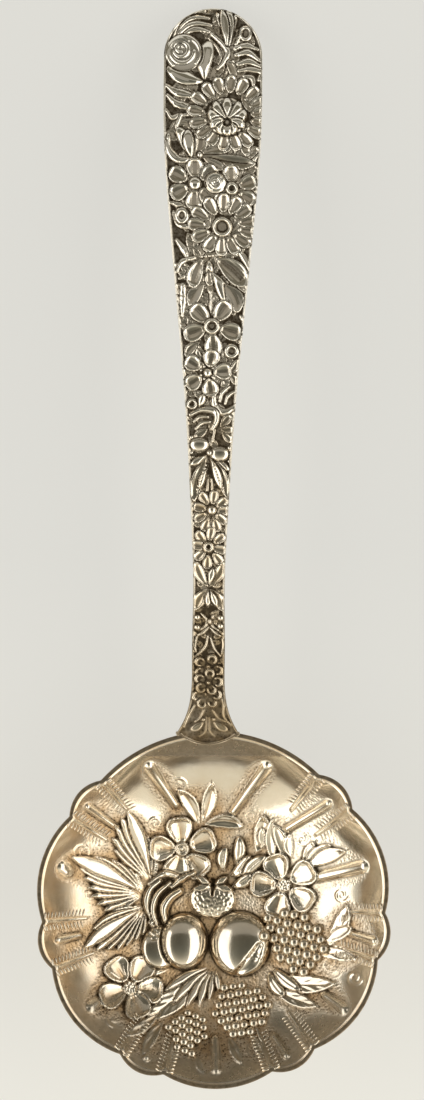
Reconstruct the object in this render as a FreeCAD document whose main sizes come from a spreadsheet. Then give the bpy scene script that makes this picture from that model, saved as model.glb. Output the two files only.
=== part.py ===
import FreeCAD, Part
import os
from math import atan2, cos, degrees, pi, radians, sin, sqrt

# Berry spoon with a lobed repousse bowl and a die-struck flower handle.
# The spoon lies face up on a table: +Z up, the handle runs along +Y, the bowl is at -Y.
# The origin is on the table, under the middle of the spoon's box. Millimetres and degrees.

Vector = FreeCAD.Vector
Rotation = FreeCAD.Rotation
Placement = FreeCAD.Placement
UP = Vector(0, 0, 1)

os.makedirs("parts", exist_ok=True)
doc = FreeCAD.newDocument("berry_spoon")

# Driving dimensions: lengths in millimetres, angles in degrees
DIMENSIONS = {
    # whole spoon
    "spoon_length": "230",
    "bowl_span": "76",
    "bowl_depth": "19",
    "sheet_wall": "0.9",
    # lobed rim
    "notch_depth": "1.5",
    "flute_run": "8",
    "narrow_lobe_angle": "16",
    "wide_lobe_angle": "37",
    "bowl_turn": "1.5",
    "rest_flat": "7",
    # handle blank
    "handle_width": "21",
    "handle_lean": "0.45",
    "waist_width": "6.7",
    "shoulder_width": "13.4",
    "crest_height": "28",
    "root_rise": "1.9",
    "tip_thickness": "2",
    "neck_thickness": "3",
    "border_width": "0.5",
    "ground_depth": "0.6",
    # the handle's seat on the bowl
    "shoulder_length": "7",
    "tongue_width": "9.6",
    "tongue_lap": "2.8",
    "tongue_thickness": "0.7",
    "heel_width": "6.4",
    "heel_lap": "6",
    "heel_run": "5",
    "heel_thickness": "1.2",
    "solder_film": "0.15",
    # raised drops, fruit, flowers and leaves in the bowl
    "drop_radius": "1.35",
    "drop_length": "4.6",
    "long_drop_length": "10",
    "left_plum_radius": "4.7",
    "right_plum_radius": "6.2",
    "plum_rise": "3.8",
    "hidden_fruit_radius": "3.4",
    "strawberry_radius": "5.2",
    "strawberry_rise": "1.8",
    "cluster_radius": "6.4",
    "cluster_rise": "2.2",
    "bowl_flower_radius": "5.9",
    "bowl_petal_rise": "1",
    "bowl_leaf_rise": "0.8",
    # struck flowers of the handle
    "struck_rise": "0.6",
    "struck_centre_rise": "1.1",
}

sheet = doc.addObject("Spreadsheet::Sheet", "sizes")
for row, (alias, text) in enumerate(DIMENSIONS.items(), start=1):
    sheet.set(f"A{row}", alias)
    sheet.set(f"B{row}", text)
    sheet.setAlias(f"B{row}", alias)
doc.recompute()


def size(alias):
    """A driving dimension of the sheet as a number."""
    return float(sheet.get(alias))


def feature(name, shape):
    """A document object that holds a shape made with Part's own functions."""
    holder = doc.addObject("Part::Feature", name)
    holder.Shape = shape
    return holder


def joined(name, pieces):
    fuse = doc.addObject("Part::MultiFuse", name)
    fuse.Shapes = pieces
    return fuse


def difference(name, base, tool):
    cut = doc.addObject("Part::Cut", name)
    cut.Base = base
    cut.Tool = tool
    return cut


def overlap(name, base, tool):
    common = doc.addObject("Part::Common", name)
    common.Base = base
    common.Tool = tool
    return common


# Places that several pieces share
wall = size("sheet_wall")
rim_radius = size("bowl_span") / 2
rim_height = size("bowl_depth")
bowl_y = -size("spoon_length") / 2 + rim_radius
rim_y = bowl_y + rim_radius
tip_y = size("spoon_length") / 2
handle_reach = tip_y - rim_y

# The bowl is a dish of one radius: a ball through its foot and its rim
dish_radius = (rim_radius ** 2 + rim_height ** 2) / (2 * rim_height)
dish_centre = Vector(0, bowl_y, dish_radius)


def dish_reach(height, growth):
    """Plan radius of the dish, grown by growth, at a height above the table."""
    return sqrt((dish_radius + growth) ** 2 - (dish_radius - height) ** 2)


def dish_height(reach, growth):
    """Height of the dish, grown by growth, at a plan radius."""
    return dish_radius - sqrt((dish_radius + growth) ** 2 - reach ** 2)


# Lobes of the rim, counterclockwise from the handle's own wide lobe
narrow = size("narrow_lobe_angle")
wide = size("wide_lobe_angle")
WIDE_LOBES = 5
handle_lobe = 360 - (WIDE_LOBES + 1) * narrow - WIDE_LOBES * wide
lobe_widths = [handle_lobe] + [narrow, wide] * WIDE_LOBES + [narrow]
handle_lobe_middle = 90 + size("bowl_turn")
lobe_starts = []
turned = handle_lobe_middle - handle_lobe / 2
for lobe_width in lobe_widths:
    lobe_starts.append(turned)
    turned += lobe_width


def polar(reach, angle, height):
    """A point at a plan radius and an angle about the bowl's axis."""
    return Vector(
        reach * cos(radians(angle)),
        bowl_y + reach * sin(radians(angle)),
        height,
    )


# The dish is built of flat facets, narrow enough to follow the lobes within 0.1 mm
FOOT_BANDS = 5
FLUTE_BANDS = 3
CHORD_ANGLE = 6.5


def lobed_ring(reach, height, notch):
    """Corners of the bowl's outline at a height, with a notch between each two lobes."""
    corners = []
    for start, lobe_width in zip(lobe_starts, lobe_widths):
        chords = 2 * max(1, round(lobe_width / (2 * CHORD_ANGLE)))
        for chord in range(chords):
            share = chord / chords
            inward = notch * (2 * share - 1) ** 2
            corners.append(polar(reach - inward, start + lobe_width * share, height))
    return corners


def stacked(rings, twisted_from):
    """A solid through rings of as many corners, from the lowest up. Its sides are flat, and from
    the twisted_from-th band on each is split in two, because its corners aren't in one plane."""
    faces = [Part.Face(Part.makePolygon(ring + ring[:1])) for ring in (rings[0], rings[-1])]
    for band, (lower, upper) in enumerate(zip(rings, rings[1:])):
        for index in range(len(lower)):
            after = (index + 1) % len(lower)
            corners = [lower[index], lower[after], upper[after], upper[index]]
            sides = [corners]
            if band >= twisted_from:
                sides = [corners[:3], corners[2:] + corners[:1]]
            for side in sides:
                faces.append(Part.Face(Part.makePolygon(side + side[:1])))
    solid = Part.makeSolid(Part.makeShell(faces))
    if solid.Volume < 0:
        solid.reverse()
    return solid


def fluted_form(name, growth, top):
    """A solid dish: a round foot with a worn flat, and above it a wall of lobes."""
    flat_reach = size("rest_flat") / 2
    flute_foot = dish_height(rim_radius - size("flute_run"), 0) - growth
    foot_reach = dish_reach(flute_foot, growth)
    rings = [lobed_ring(flat_reach, -growth, 0)]
    for band in range(1, FOOT_BANDS + 1):
        reach = flat_reach + (foot_reach - flat_reach) * band / FOOT_BANDS
        rings.append(lobed_ring(reach, dish_height(reach, growth), 0))
    for level in range(1, FLUTE_BANDS + 1):
        share = level / FLUTE_BANDS
        height = flute_foot + (top - flute_foot) * share
        notch = size("notch_depth") * share ** 2
        rings.append(lobed_ring(dish_reach(height, growth), height, notch))
    return feature(name, stacked(rings, FOOT_BANDS))


bowl_outside = fluted_form("bowl_outside", 0, rim_height)
bowl_inside = fluted_form("bowl_inside", -wall, rim_height)
bowl_shell = difference("bowl_shell", bowl_outside, bowl_inside)


# Forms that raise the metal. Each stands on z = 0 and reaches sink below it.
def tapered(corners, sink, rise, crown_share):
    """A low form with sloped sides between an outline and its smaller crown."""
    foot = [corner - UP * sink for corner in corners]
    crown = [corner * crown_share + UP * rise for corner in corners]
    return stacked([foot, crown], 1)


def spoke(reach, angle):
    return Vector(reach * cos(radians(angle)), reach * sin(radians(angle)), 0)


def ring(sides, reach, height):
    return [spoke(reach, 360 * side / sides) + UP * height for side in range(sides)]


# Corners of one petal: share of the pitch from its middle, share of the reach
LONG_PETAL_SHARES = ((-0.42, 0.8), (-0.17, 1), (0.17, 1), (0.42, 0.8))
SCALLOP_SHARES = ((-0.25, 1), (0.25, 1))
PETAL_CROWN_SHARE = 0.8


def blossom(petals, reach, valley_share, petal_shares, sink, rise):
    """Petals round a centre, with a valley between each two."""
    pitch = 360 / petals
    corners = []
    for petal in range(petals):
        middle = petal * pitch
        corners.append(spoke(reach * valley_share, middle - pitch / 2))
        for turn_share, reach_share in petal_shares:
            corners.append(spoke(reach * reach_share, middle + pitch * turn_share))
    return tapered(corners, sink, rise, PETAL_CROWN_SHARE)


def mirrored_outline(length, edge):
    """Corners from a root to a tip along one edge and back along its mirror image."""
    root = Vector(-length / 2, 0, 0)
    tip = Vector(length / 2, 0, 0)
    back = [Vector(corner.x, -corner.y, 0) for corner in reversed(edge)]
    return [root] + edge + [tip] + back


LEAF_CROWN_SHARE = 0.45
LEAF_SLIMNESS = 0.2
LEAF_SHAPE_SHARES = ((-0.22, 0.85), (0.12, 1), (0.38, 0.45))


def leaf(length, half_width, sink, rise):
    """A plain leaf along X, about its middle, widest a little past it."""
    edge = [Vector(length * along, half_width * spread, 0) for along, spread in LEAF_SHAPE_SHARES]
    return tapered(mirrored_outline(length, edge), sink, rise, LEAF_CROWN_SHARE)


TEETH = 5
TOOTH_INNER_SHARE = 0.6
TOOTH_RAKE_SHARE = 0.6
TOOTH_SWELL = 0.8


def toothed_leaf(length, half_width, teeth, sink, rise):
    """A leaf along X, about its middle, with points that rake towards its tip on both edges."""
    edge = []
    for tooth in range(teeth):
        inner_share = (tooth + TOOTH_RAKE_SHARE) / (teeth + TOOTH_RAKE_SHARE)
        outer_share = (tooth + 1) / (teeth + TOOTH_RAKE_SHARE)
        inner = half_width * sin(pi * inner_share) * TOOTH_INNER_SHARE
        outer = half_width * sin(pi * inner_share ** TOOTH_SWELL)
        edge.append(Vector(length * inner_share - length / 2, inner, 0))
        edge.append(Vector(length * outer_share - length / 2, outer, 0))
    edge.pop()
    return tapered(mirrored_outline(length, edge), sink, rise, LEAF_CROWN_SHARE)


BOSS_SIDES = 8
BOSS_CROWN_SHARE = 0.6
DOME_SIDES = 12
DOME_BANDS = 3


def boss(reach, sink, rise):
    """A button with sloped sides."""
    return stacked([ring(BOSS_SIDES, reach, -sink), ring(BOSS_SIDES, reach * BOSS_CROWN_SHARE, rise)], 1)


def dome(reach, rise, sink):
    """A faceted dome, reach in radius on z = 0, with a small flat crown."""
    ball_radius = (reach ** 2 + rise ** 2) / (2 * rise)
    edge_angle = atan2(ball_radius - rise, reach)
    crown_angle = edge_angle + (pi / 2 - edge_angle) * (1 - 1 / (2 * DOME_BANDS))
    rings = [ring(DOME_SIDES, reach, -sink)]
    for band in range(DOME_BANDS):
        angle = edge_angle + (crown_angle - edge_angle) * band / (DOME_BANDS - 1)
        height = rise - ball_radius + ball_radius * sin(angle)
        rings.append(ring(DOME_SIDES, ball_radius * cos(angle), height))
    return stacked(rings, len(rings))


def ball(reach, rise, sink):
    """A smooth ball that stands rise high, cut flat at its back."""
    ball_radius = (reach ** 2 + rise ** 2) / (2 * rise)
    whole = Part.makeSphere(ball_radius, UP * (rise - ball_radius))
    across_ball = 2 * ball_radius
    above = Part.makeBox(across_ball, across_ball, rise + sink, Vector(-ball_radius, -ball_radius, -sink))
    return whole.common(above)


DROP_CROWN_SHARE = 0.5
DROP_RISE_SHARE = 0.8
DROP_HEAD_SHARES = ((0, 0.4), (0.3, 0.85), (0.8, 1))
DROP_TAIL_SHARE = 0.3


def drop(length, radius, sink, rise):
    """A drop along X, about its middle: a round head behind and a tail that narrows forward."""
    edge = [Vector(radius * along - length / 2, radius * spread, 0) for along, spread in DROP_HEAD_SHARES]
    edge.append(Vector(length / 2, radius * DROP_TAIL_SHARE, 0))
    other = [Vector(corner.x, -corner.y, 0) for corner in reversed(edge)]
    return tapered(edge + other, sink, rise, DROP_CROWN_SHARE)


def placed(shape, placement):
    moved = shape.copy()
    moved.Placement = placement.multiply(moved.Placement)
    return moved


# The bowl's raised forms stand square to its inner surface
def bowl_seat(reach, angle, heading):
    """The inner surface at a plan radius and an angle, with +X turned to a plan heading."""
    point = polar(reach, angle, dish_height(reach, -wall))
    tilt = Rotation(UP, dish_centre - point)
    return Placement(point, tilt.multiply(Rotation(UP, heading)))


def bowl_place(reach_share, angle, heading):
    turn = size("bowl_turn")
    return bowl_seat(rim_radius * reach_share, angle + turn, heading + turn)


bowl_sink = wall / 2
leaf_sink = wall / 4
raised = []
hollowed = []

# One drop in the middle of each lobe and two in the handle's own lobe
DROP_REACH_SHARE = 0.865
LONG_DROP_LOBES = (1, 10, 11)
HANDLE_DROP_SPREAD_SHARE = 0.285
drop_places = []
for index in range(1, len(lobe_widths)):
    length = size("long_drop_length") if index in LONG_DROP_LOBES else size("drop_length")
    drop_places.append((lobe_starts[index] + lobe_widths[index] / 2, length))
for side in (-1, 1):
    spread = side * handle_lobe * HANDLE_DROP_SPREAD_SHARE
    drop_places.append((handle_lobe_middle + spread, size("long_drop_length")))
for angle, length in drop_places:
    radius = size("drop_radius")
    seat = bowl_seat(rim_radius * DROP_REACH_SHARE - length / 2, angle, angle + 180)
    raised.append(placed(drop(length, radius, leaf_sink, radius * DROP_RISE_SHARE), seat))

# Fruit: two plums hollow at the back, the fruit that the left one hides and a strawberry
PLUM_SHARES = (
    ("left_plum_radius", 0.252, 232),
    ("right_plum_radius", 0.261, 303.5),
)
HIDDEN_FRUIT_SHARES = (0.392, 215.5)
STRAWBERRY_SHARES = (0.037, 111)
for alias, reach_share, angle in PLUM_SHARES:
    seat = bowl_place(reach_share, angle, 0)
    raised.append(placed(ball(size(alias), size("plum_rise"), bowl_sink), seat))
    hollowed.append(placed(dome(size(alias) - wall, size("plum_rise") - wall, 2 * wall), seat))
hidden_fruit = dome(size("hidden_fruit_radius"), size("plum_rise") / 2, bowl_sink)
raised.append(placed(hidden_fruit, bowl_place(*HIDDEN_FRUIT_SHARES, 0)))
strawberry = dome(size("strawberry_radius"), size("strawberry_rise"), bowl_sink)
raised.append(placed(strawberry, bowl_place(*STRAWBERRY_SHARES, 0)))

# Berry clusters by reach share, angle and size share: two tiers of drupelets and one on top
CLUSTER_SHARES = (
    (0.491, 332.5, 1),
    (0.595, 283.5, 1),
    (0.72, 257, 0.78),
)
CLUSTER_TIER_SHARES = (
    # drupelets in the tier, its reach and its height as shares of the cluster's
    (12, 1, 0.5),
    (7, 0.66, 0.8),
)
CLUSTER_CROWN_SHARE = 0.28
CLUSTER_VALLEY_SHARE = 0.78
for reach_share, angle, size_share in CLUSTER_SHARES:
    cluster_reach = size("cluster_radius") * size_share
    tiers = [boss(cluster_reach * CLUSTER_CROWN_SHARE, 0, size("cluster_rise"))]
    for drupelets, tier_share, rise_share in CLUSTER_TIER_SHARES:
        reach = cluster_reach * tier_share
        rise = size("cluster_rise") * rise_share
        tiers.append(blossom(drupelets, reach, CLUSTER_VALLEY_SHARE, SCALLOP_SHARES, bowl_sink, rise))
    raised.append(placed(tiers[0].fuse(tiers[1:]), bowl_place(reach_share, angle, 0)))

# Flowers of five petals by reach share, angle and heading, each with a button in its middle
BOWL_FLOWER_SHARES = (
    (0.36, 117.5, 20),
    (0.411, 13.5, 50),
    (0.643, 222.5, 62),
)
BOWL_PETALS = 5
PETAL_VALLEY_SHARE = 0.42
BUTTON_SHARE = 0.25
BUTTON_RISE_SHARE = 1.5
flower_radius = size("bowl_flower_radius")
petal_rise = size("bowl_petal_rise")
for reach_share, angle, heading in BOWL_FLOWER_SHARES:
    seat = bowl_place(reach_share, angle, heading)
    petals = blossom(BOWL_PETALS, flower_radius, PETAL_VALLEY_SHARE, LONG_PETAL_SHARES, bowl_sink, petal_rise)
    raised.append(placed(petals, seat))
    button = boss(flower_radius * BUTTON_SHARE, bowl_sink, petal_rise * BUTTON_RISE_SHARE)
    raised.append(placed(button, seat))

# Leaves: middle by reach share and angle, heading, length as a share of the rim radius
TOOTHED_LEAF_SHARES = (
    (0.52, 142.5, 102, 0.4),
    (0.62, 162, 152, 0.42),
    (0.57, 191.5, 208, 0.38),
)
PLAIN_LEAF_SHARES = (
    (0.244, 172, 229, 0.17),
    (0.33, 168, 238, 0.18),
    (0.56, 103, 118, 0.21),
    (0.58, 92.5, 70, 0.23),
    (0.44, 82.5, 2, 0.24),
    (0.27, 72, 75, 0.24),
    (0.284, 48, 48, 0.22),
    (0.53, 38.5, 59, 0.23),
    (0.67, 27, 14, 0.22),
    (0.67, 351, 67, 0.18),
    (0.64, 319, 354, 0.36),
    (0.49, 247, 212, 0.29),
    (0.81, 276.5, 297, 0.14),
)
for reach_share, angle, heading, length_share in TOOTHED_LEAF_SHARES:
    length = rim_radius * length_share
    serrated = toothed_leaf(length, length * LEAF_SLIMNESS, TEETH, leaf_sink, size("bowl_leaf_rise"))
    raised.append(placed(serrated, bowl_place(reach_share, angle, heading)))
for reach_share, angle, heading, length_share in PLAIN_LEAF_SHARES:
    length = rim_radius * length_share
    plain = leaf(length, length * LEAF_SLIMNESS, leaf_sink, size("bowl_leaf_rise"))
    raised.append(placed(plain, bowl_place(reach_share, angle, heading)))

raised_forms = [feature(f"bowl_form_{index}", form) for index, form in enumerate(raised)]
bowl_raised = joined("bowl_raised", [bowl_shell] + raised_forms)
bowl_hollows = feature("bowl_hollows", Part.makeCompound(hollowed))
bowl = difference("bowl", bowl_raised, bowl_hollows)
bowl.Label = "bowl"

# Handle, modelled straight along +Y and then leaned about its tip
root_top = rim_height + size("root_rise")
crest = size("crest_height")
tip_top = size("tip_thickness")
waist_half = size("waist_width") / 2
handle_half = size("handle_width") / 2
shoulder_half = size("shoulder_width") / 2

# Stations of the upper surface: share of the run from rim to tip, share of the climb or fall
CLIMB_SHARES = ((0.05, 0.2), (0.21, 0.8), (0.36, 1))
FALL_SHARES = ((0.52, 0.93), (0.66, 0.74), (0.88, 0.33), (1, 0))


def crown_stations(drop_at_root, drop_at_tip):
    """Points along the handle's upper surface, or below it by a depth that changes evenly."""
    stations = [(0, root_top)]
    for run_share, climb_share in CLIMB_SHARES:
        stations.append((run_share, root_top + (crest - root_top) * climb_share))
    for run_share, fall_share in FALL_SHARES:
        stations.append((run_share, tip_top + (crest - tip_top) * fall_share))
    points = []
    for run_share, height in stations:
        lowered = drop_at_root + (drop_at_tip - drop_at_root) * run_share
        points.append(Vector(0, rim_y + handle_reach * run_share, height - lowered))
    return points


def smooth_curve(points):
    curve = Part.BSplineCurve()
    curve.interpolate(points)
    return curve


crown_curve = smooth_curve(crown_stations(0, 0))
HALVINGS = 40


def crown_height(y):
    """Height and slope of the upper surface at a place along the handle."""
    low = crown_curve.FirstParameter
    high = crown_curve.LastParameter
    for _ in range(HALVINGS):
        middle = (low + high) / 2
        if crown_curve.value(middle).y < y:
            low = middle
        else:
            high = middle
    point = crown_curve.value(low)
    tangent = crown_curve.tangent(low)[0]
    return point.z, atan2(tangent.z, tangent.y)


def closed_side(edges):
    return Part.Face(Part.Wire(edges))


def across(name, face):
    """A side profile extruded across the whole handle."""
    slab = doc.addObject("Part::Extrusion", name)
    slab.Base = feature(name + "_profile", face)
    slab.Dir = Vector(1, 0, 0)
    slab.setExpression("LengthFwd", "sizes.handle_width * 2")
    slab.Symmetric = True
    return slab


# Side profile of the stem with the tongue that bends down over the rim
lap_reach = rim_radius - size("tongue_lap")
lap_height = dish_height(lap_reach, -wall) + size("tongue_thickness") / 2
tongue_tip = Vector(0, rim_y - size("tongue_lap"), lap_height)
tongue_back = Vector(0, tongue_tip.y, dish_height(lap_reach, -wall / 2))
root_point = Vector(0, rim_y, root_top)
bend = (tongue_tip + root_point) * 0.5 + Vector(0, -1, 1) * (size("tongue_thickness") / 2)
underside_points = crown_stations(size("neck_thickness"), size("tip_thickness"))
tip_upper = Vector(0, tip_y, tip_top)
stem_face = closed_side([
    Part.Arc(tongue_tip, bend, root_point).toShape(),
    crown_curve.toShape(),
    Part.makeLine(tip_upper, underside_points[-1]),
    smooth_curve(underside_points).toShape(),
    Part.makeLine(underside_points[0], tongue_back),
    Part.makeLine(tongue_back, tongue_tip),
])
stem_side = across("stem_side", stem_face)

# Plan outline: shares of the run, and of the widening from waist to handle or to shoulders
TAPER_SHARES = ((0.1, 0.02), (0.2, 0), (0.3, 0.085), (0.436, 0.26), (0.57, 0.52), (0.7, 0.79), (0.82, 0.98))
SHOULDER_SHARES = ((0.06, 1), (0.45, 0.55), (0.8, 0.28))


def stem_outline(inset):
    """The handle seen from above, drawn smaller by inset."""
    half_points = []
    shoulder_y = bowl_y + sqrt(rim_radius ** 2 - shoulder_half ** 2) - wall / 2
    for run_share, widening in SHOULDER_SHARES:
        y = shoulder_y + size("shoulder_length") * run_share
        half_points.append((y, waist_half + (shoulder_half - waist_half) * widening))
    for run_share, widening in TAPER_SHARES:
        y = rim_y + handle_reach * run_share
        half_points.append((y, waist_half + (handle_half - waist_half) * widening))
    round_y = tip_y - handle_half
    half_points.append((round_y, handle_half))
    right = [Vector(half - inset, y, 0) for y, half in half_points]
    left = [Vector(inset - half, y, 0) for y, half in reversed(half_points)]
    tongue_half = size("tongue_width") / 2 - inset
    tongue_start = Vector(tongue_half, shoulder_y - wall / 2, 0)
    tongue_end = Vector(-tongue_half, tongue_start.y, 0)
    return Part.Wire([
        smooth_curve(right).toShape(),
        Part.Arc(right[-1], Vector(0, tip_y - inset, 0), left[0]).toShape(),
        smooth_curve(left).toShape(),
        Part.makeLine(left[-1], tongue_end),
        Part.Arc(tongue_end, Vector(0, rim_y - size("tongue_lap") + inset, 0), tongue_start).toShape(),
        Part.makeLine(tongue_start, right[0]),
    ])


def upright(name, outline):
    """A plan outline extruded from the table to above the handle."""
    prism = doc.addObject("Part::Extrusion", name)
    prism.Base = feature(name + "_profile", Part.Face(outline))
    prism.Dir = UP
    prism.setExpression("LengthFwd", "sizes.crest_height * 1.5")
    return prism


stem_plan = upright("stem_plan", stem_outline(0))
stem_blank = overlap("stem_blank", stem_side, stem_plan)

# The sunk ground inside the border
ground_points = crown_stations(size("ground_depth"), size("ground_depth"))
above_points = crown_stations(-size("neck_thickness"), -size("neck_thickness"))
ground_face = closed_side([
    smooth_curve(ground_points).toShape(),
    Part.makeLine(ground_points[-1], above_points[-1]),
    smooth_curve(above_points).toShape(),
    Part.makeLine(above_points[0], ground_points[0]),
])
ground_side = across("ground_side", ground_face)
ground_plan = upright("ground_plan", stem_outline(size("border_width")))
ground = overlap("ground", ground_side, ground_plan)
stem_sunk = difference("stem_sunk", stem_blank, ground)


# Struck flowers, leaves and buds, from the tip to the root
def stem_seat(across_share, along_share, heading):
    """A place on the sunk ground: across as a share of the half width, along from the tip."""
    y = tip_y - handle_reach * along_share
    height, slope = crown_height(y)
    point = Vector(handle_half * across_share, y, height - size("ground_depth"))
    tilt = Rotation(Vector(1, 0, 0), degrees(slope))
    return Placement(point, tilt.multiply(Rotation(UP, heading)))


# Across and reach as shares of the handle's half width, along as a share of its run, petals
STRUCK_BLOSSOM_SHARES = (
    (-0.6, 0.06, 0.42, 5),
    (0.32, 0.15, 0.68, 14),
    (-0.34, 0.244, 0.44, 6),
    (0.43, 0.252, 0.36, 8),
    (0.2, 0.306, 0.54, 12),
    (0.03, 0.44, 0.54, 5),
    (-0.04, 0.507, 0.38, 8),
    (0.06, 0.696, 0.3, 8),
    (0.02, 0.747, 0.32, 8),
    (-0.12, 0.85, 0.18, 5),
    (0.2, 0.848, 0.18, 5),
    (0, 0.911, 0.19, 5),
    (0, 0.935, 0.19, 5),
    (0, 0.959, 0.19, 5),
)
STRUCK_BUTTON_SHARE = 0.36
STRUCK_VALLEY_SHARE = 0.62
FEWEST_SCALLOPS = 6
# Across and reach as shares of the half width, along as a share of the run
STRUCK_BUD_SHARES = (
    (0.3, 0.15, 0.38),
    (0.14, 0.02, 0.17),
    (-0.55, 0.19, 0.19),
    (0.07, 0.23, 0.22),
    (0.42, 0.477, 0.14),
    (-0.16, 0.6, 0.18),
    (0.22, 0.614, 0.18),
)
# Across as a share of the half width, along as a share of the run, heading, length share
STRUCK_LEAF_SHARES = (
    (-0.08, 0.075, 60, 0.7),
    (0.76, 0.082, 95, 0.8),
    (0.1, 0.208, 4, 1),
    (-0.3, 0.37, 260, 0.55),
    (0.36, 0.367, 280, 0.55),
    (0.03, 0.372, 270, 0.6),
    (0.3, 0.543, 300, 0.3),
    (-0.3, 0.549, 240, 0.3),
    (-0.1, 0.572, 255, 0.28),
    (0.3, 0.58, 290, 0.28),
    (-0.12, 0.65, 257, 0.85),
    (0.2, 0.65, 283, 0.85),
    (-0.02, 0.8, 288, 0.85),
    (0.08, 0.8, 252, 0.85),
    (0.04, 0.88, 270, 0.6),
    (-0.38, 0.978, 250, 0.5),
    (0.38, 0.976, 290, 0.5),
)
struck_sink = size("ground_depth")
struck_rise = size("struck_rise")
centre_rise = size("struck_centre_rise")
struck = []
for across_share, along_share, reach_share, petals in STRUCK_BLOSSOM_SHARES:
    reach = handle_half * reach_share
    petal_shares = SCALLOP_SHARES if petals >= FEWEST_SCALLOPS else LONG_PETAL_SHARES
    seat = stem_seat(across_share, along_share, 90)
    flower = blossom(petals, reach, STRUCK_VALLEY_SHARE, petal_shares, struck_sink, struck_rise)
    struck.append(placed(flower, seat))
    struck.append(placed(boss(reach * STRUCK_BUTTON_SHARE, struck_sink, centre_rise), seat))
for across_share, along_share, reach_share in STRUCK_BUD_SHARES:
    bud = dome(handle_half * reach_share, centre_rise, struck_sink)
    struck.append(placed(bud, stem_seat(across_share, along_share, 0)))
for across_share, along_share, heading, length_share in STRUCK_LEAF_SHARES:
    length = handle_half * length_share
    struck_leaf = leaf(length, length * LEAF_SLIMNESS, struck_sink, struck_rise)
    struck.append(placed(struck_leaf, stem_seat(across_share, along_share, heading)))

struck_forms = [feature(f"struck_form_{index}", form) for index, form in enumerate(struck)]
struck_relief = joined("struck_relief", struck_forms)
relief_plan = upright("relief_plan", stem_outline(size("border_width") / 2))
relief = overlap("relief", struck_relief, relief_plan)

# The heel: a drop that backs the joint on the bowl's outside
heel_reach = rim_radius - size("heel_lap")
heel_half = size("heel_width") / 2
heel_tip = Vector(0, rim_y - size("heel_lap"), dish_height(heel_reach, 0))
heel_inner = Vector(0, heel_tip.y, dish_height(heel_reach, -wall / 2))
heel_end_y = rim_y + size("heel_run")
heel_end = Vector(0, heel_end_y, crown_height(heel_end_y)[0] - size("neck_thickness"))
heel_bend = (heel_tip + heel_end) * 0.5 + Vector(0, 0, -size("heel_thickness"))
stem_core = Vector(0, heel_end.y, heel_end.z + size("neck_thickness") / 2)
root_core = Vector(0, rim_y, root_top - size("neck_thickness") / 2)
heel_face = closed_side([
    Part.Arc(heel_tip, heel_bend, heel_end).toShape(),
    Part.makeLine(heel_end, stem_core),
    Part.makeLine(stem_core, root_core),
    Part.makeLine(root_core, tongue_back),
    Part.makeLine(tongue_back, heel_inner),
    Part.makeLine(heel_inner, heel_tip),
])
heel_side = across("heel_side", heel_face)
round_start = Vector(heel_half, heel_tip.y + heel_half, 0)
round_end = Vector(-heel_half, round_start.y, 0)
heel_outline = Part.Wire([
    Part.Arc(round_end, Vector(0, heel_tip.y, 0), round_start).toShape(),
    Part.makeLine(round_start, Vector(heel_half, heel_end_y, 0)),
    Part.makeLine(Vector(heel_half, heel_end_y, 0), Vector(-heel_half, heel_end_y, 0)),
    Part.makeLine(Vector(-heel_half, heel_end_y, 0), round_end),
])
heel_plan = upright("heel_plan", heel_outline)
heel = overlap("heel", heel_side, heel_plan)

# The struck handle leans about its tip, so that its root meets the rim left of the middle
handle_struck = joined("handle_struck", [stem_sunk, relief, heel])
lean = Rotation(UP, -size("handle_lean"))
handle_struck.Placement = Placement(Vector(), lean, Vector(0, tip_y, 0))

# The slot in the root that takes the bowl's wall with a film of solder on every side
film = size("solder_film")
slot_outside = fluted_form("slot_outside", film, rim_height + film)
slot_inside = fluted_form("slot_inside", -wall - film, rim_height + film)
slot = difference("slot", slot_outside, slot_inside)
handle = difference("handle", handle_struck, slot)
handle.Label = "handle"

# The solder fills the slot round the wall
solder_stock = overlap("solder_stock", handle_struck, slot)
solder_seam = difference("solder_seam", solder_stock, bowl_shell)
solder_seam.Label = "solder_seam"

SUBPARTS = (bowl, handle, solder_seam)
doc.recompute()
for item in doc.Objects:
    if "Invalid" in item.State or "Error" in item.State:
        raise RuntimeError(f"{item.Label} could not be computed: {item.State}")
for subpart in SUBPARTS:
    shape = subpart.Shape
    if shape.isNull() or not shape.isValid() or len(shape.Solids) != 1:
        raise RuntimeError(f"{subpart.Label} isn't one valid solid")
for subpart in SUBPARTS:
    subpart.Shape.exportStep(f"parts/{subpart.Label}.step")
    print(f"{subpart.Label}: {subpart.Shape.Volume:.1f} cubic mm, {len(subpart.Shape.Faces)} faces")
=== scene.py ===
# %% [markdown]
# # A berry spoon in silver
# A berry spoon is a wide serving spoon. The bowl is one round sheet of silver, sunk into a
# dish, with a lobed rim and with fruit, flowers and leaves pushed up from behind, which is
# called repousse. The handle is struck between two dies, so its flowers stand on a sunk
# ground inside a thin raised border. Silver solder joins the two.
#
# The CAD model is the frame: its sizes are repeated here, and each piece that this lesson
# makes stands where a CAD piece stood.

# %% Load the frame
from math import ceil, cos, pi, radians, sin, sqrt
import bmesh
import bpy
import numpy as np
from mathutils import Matrix


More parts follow.
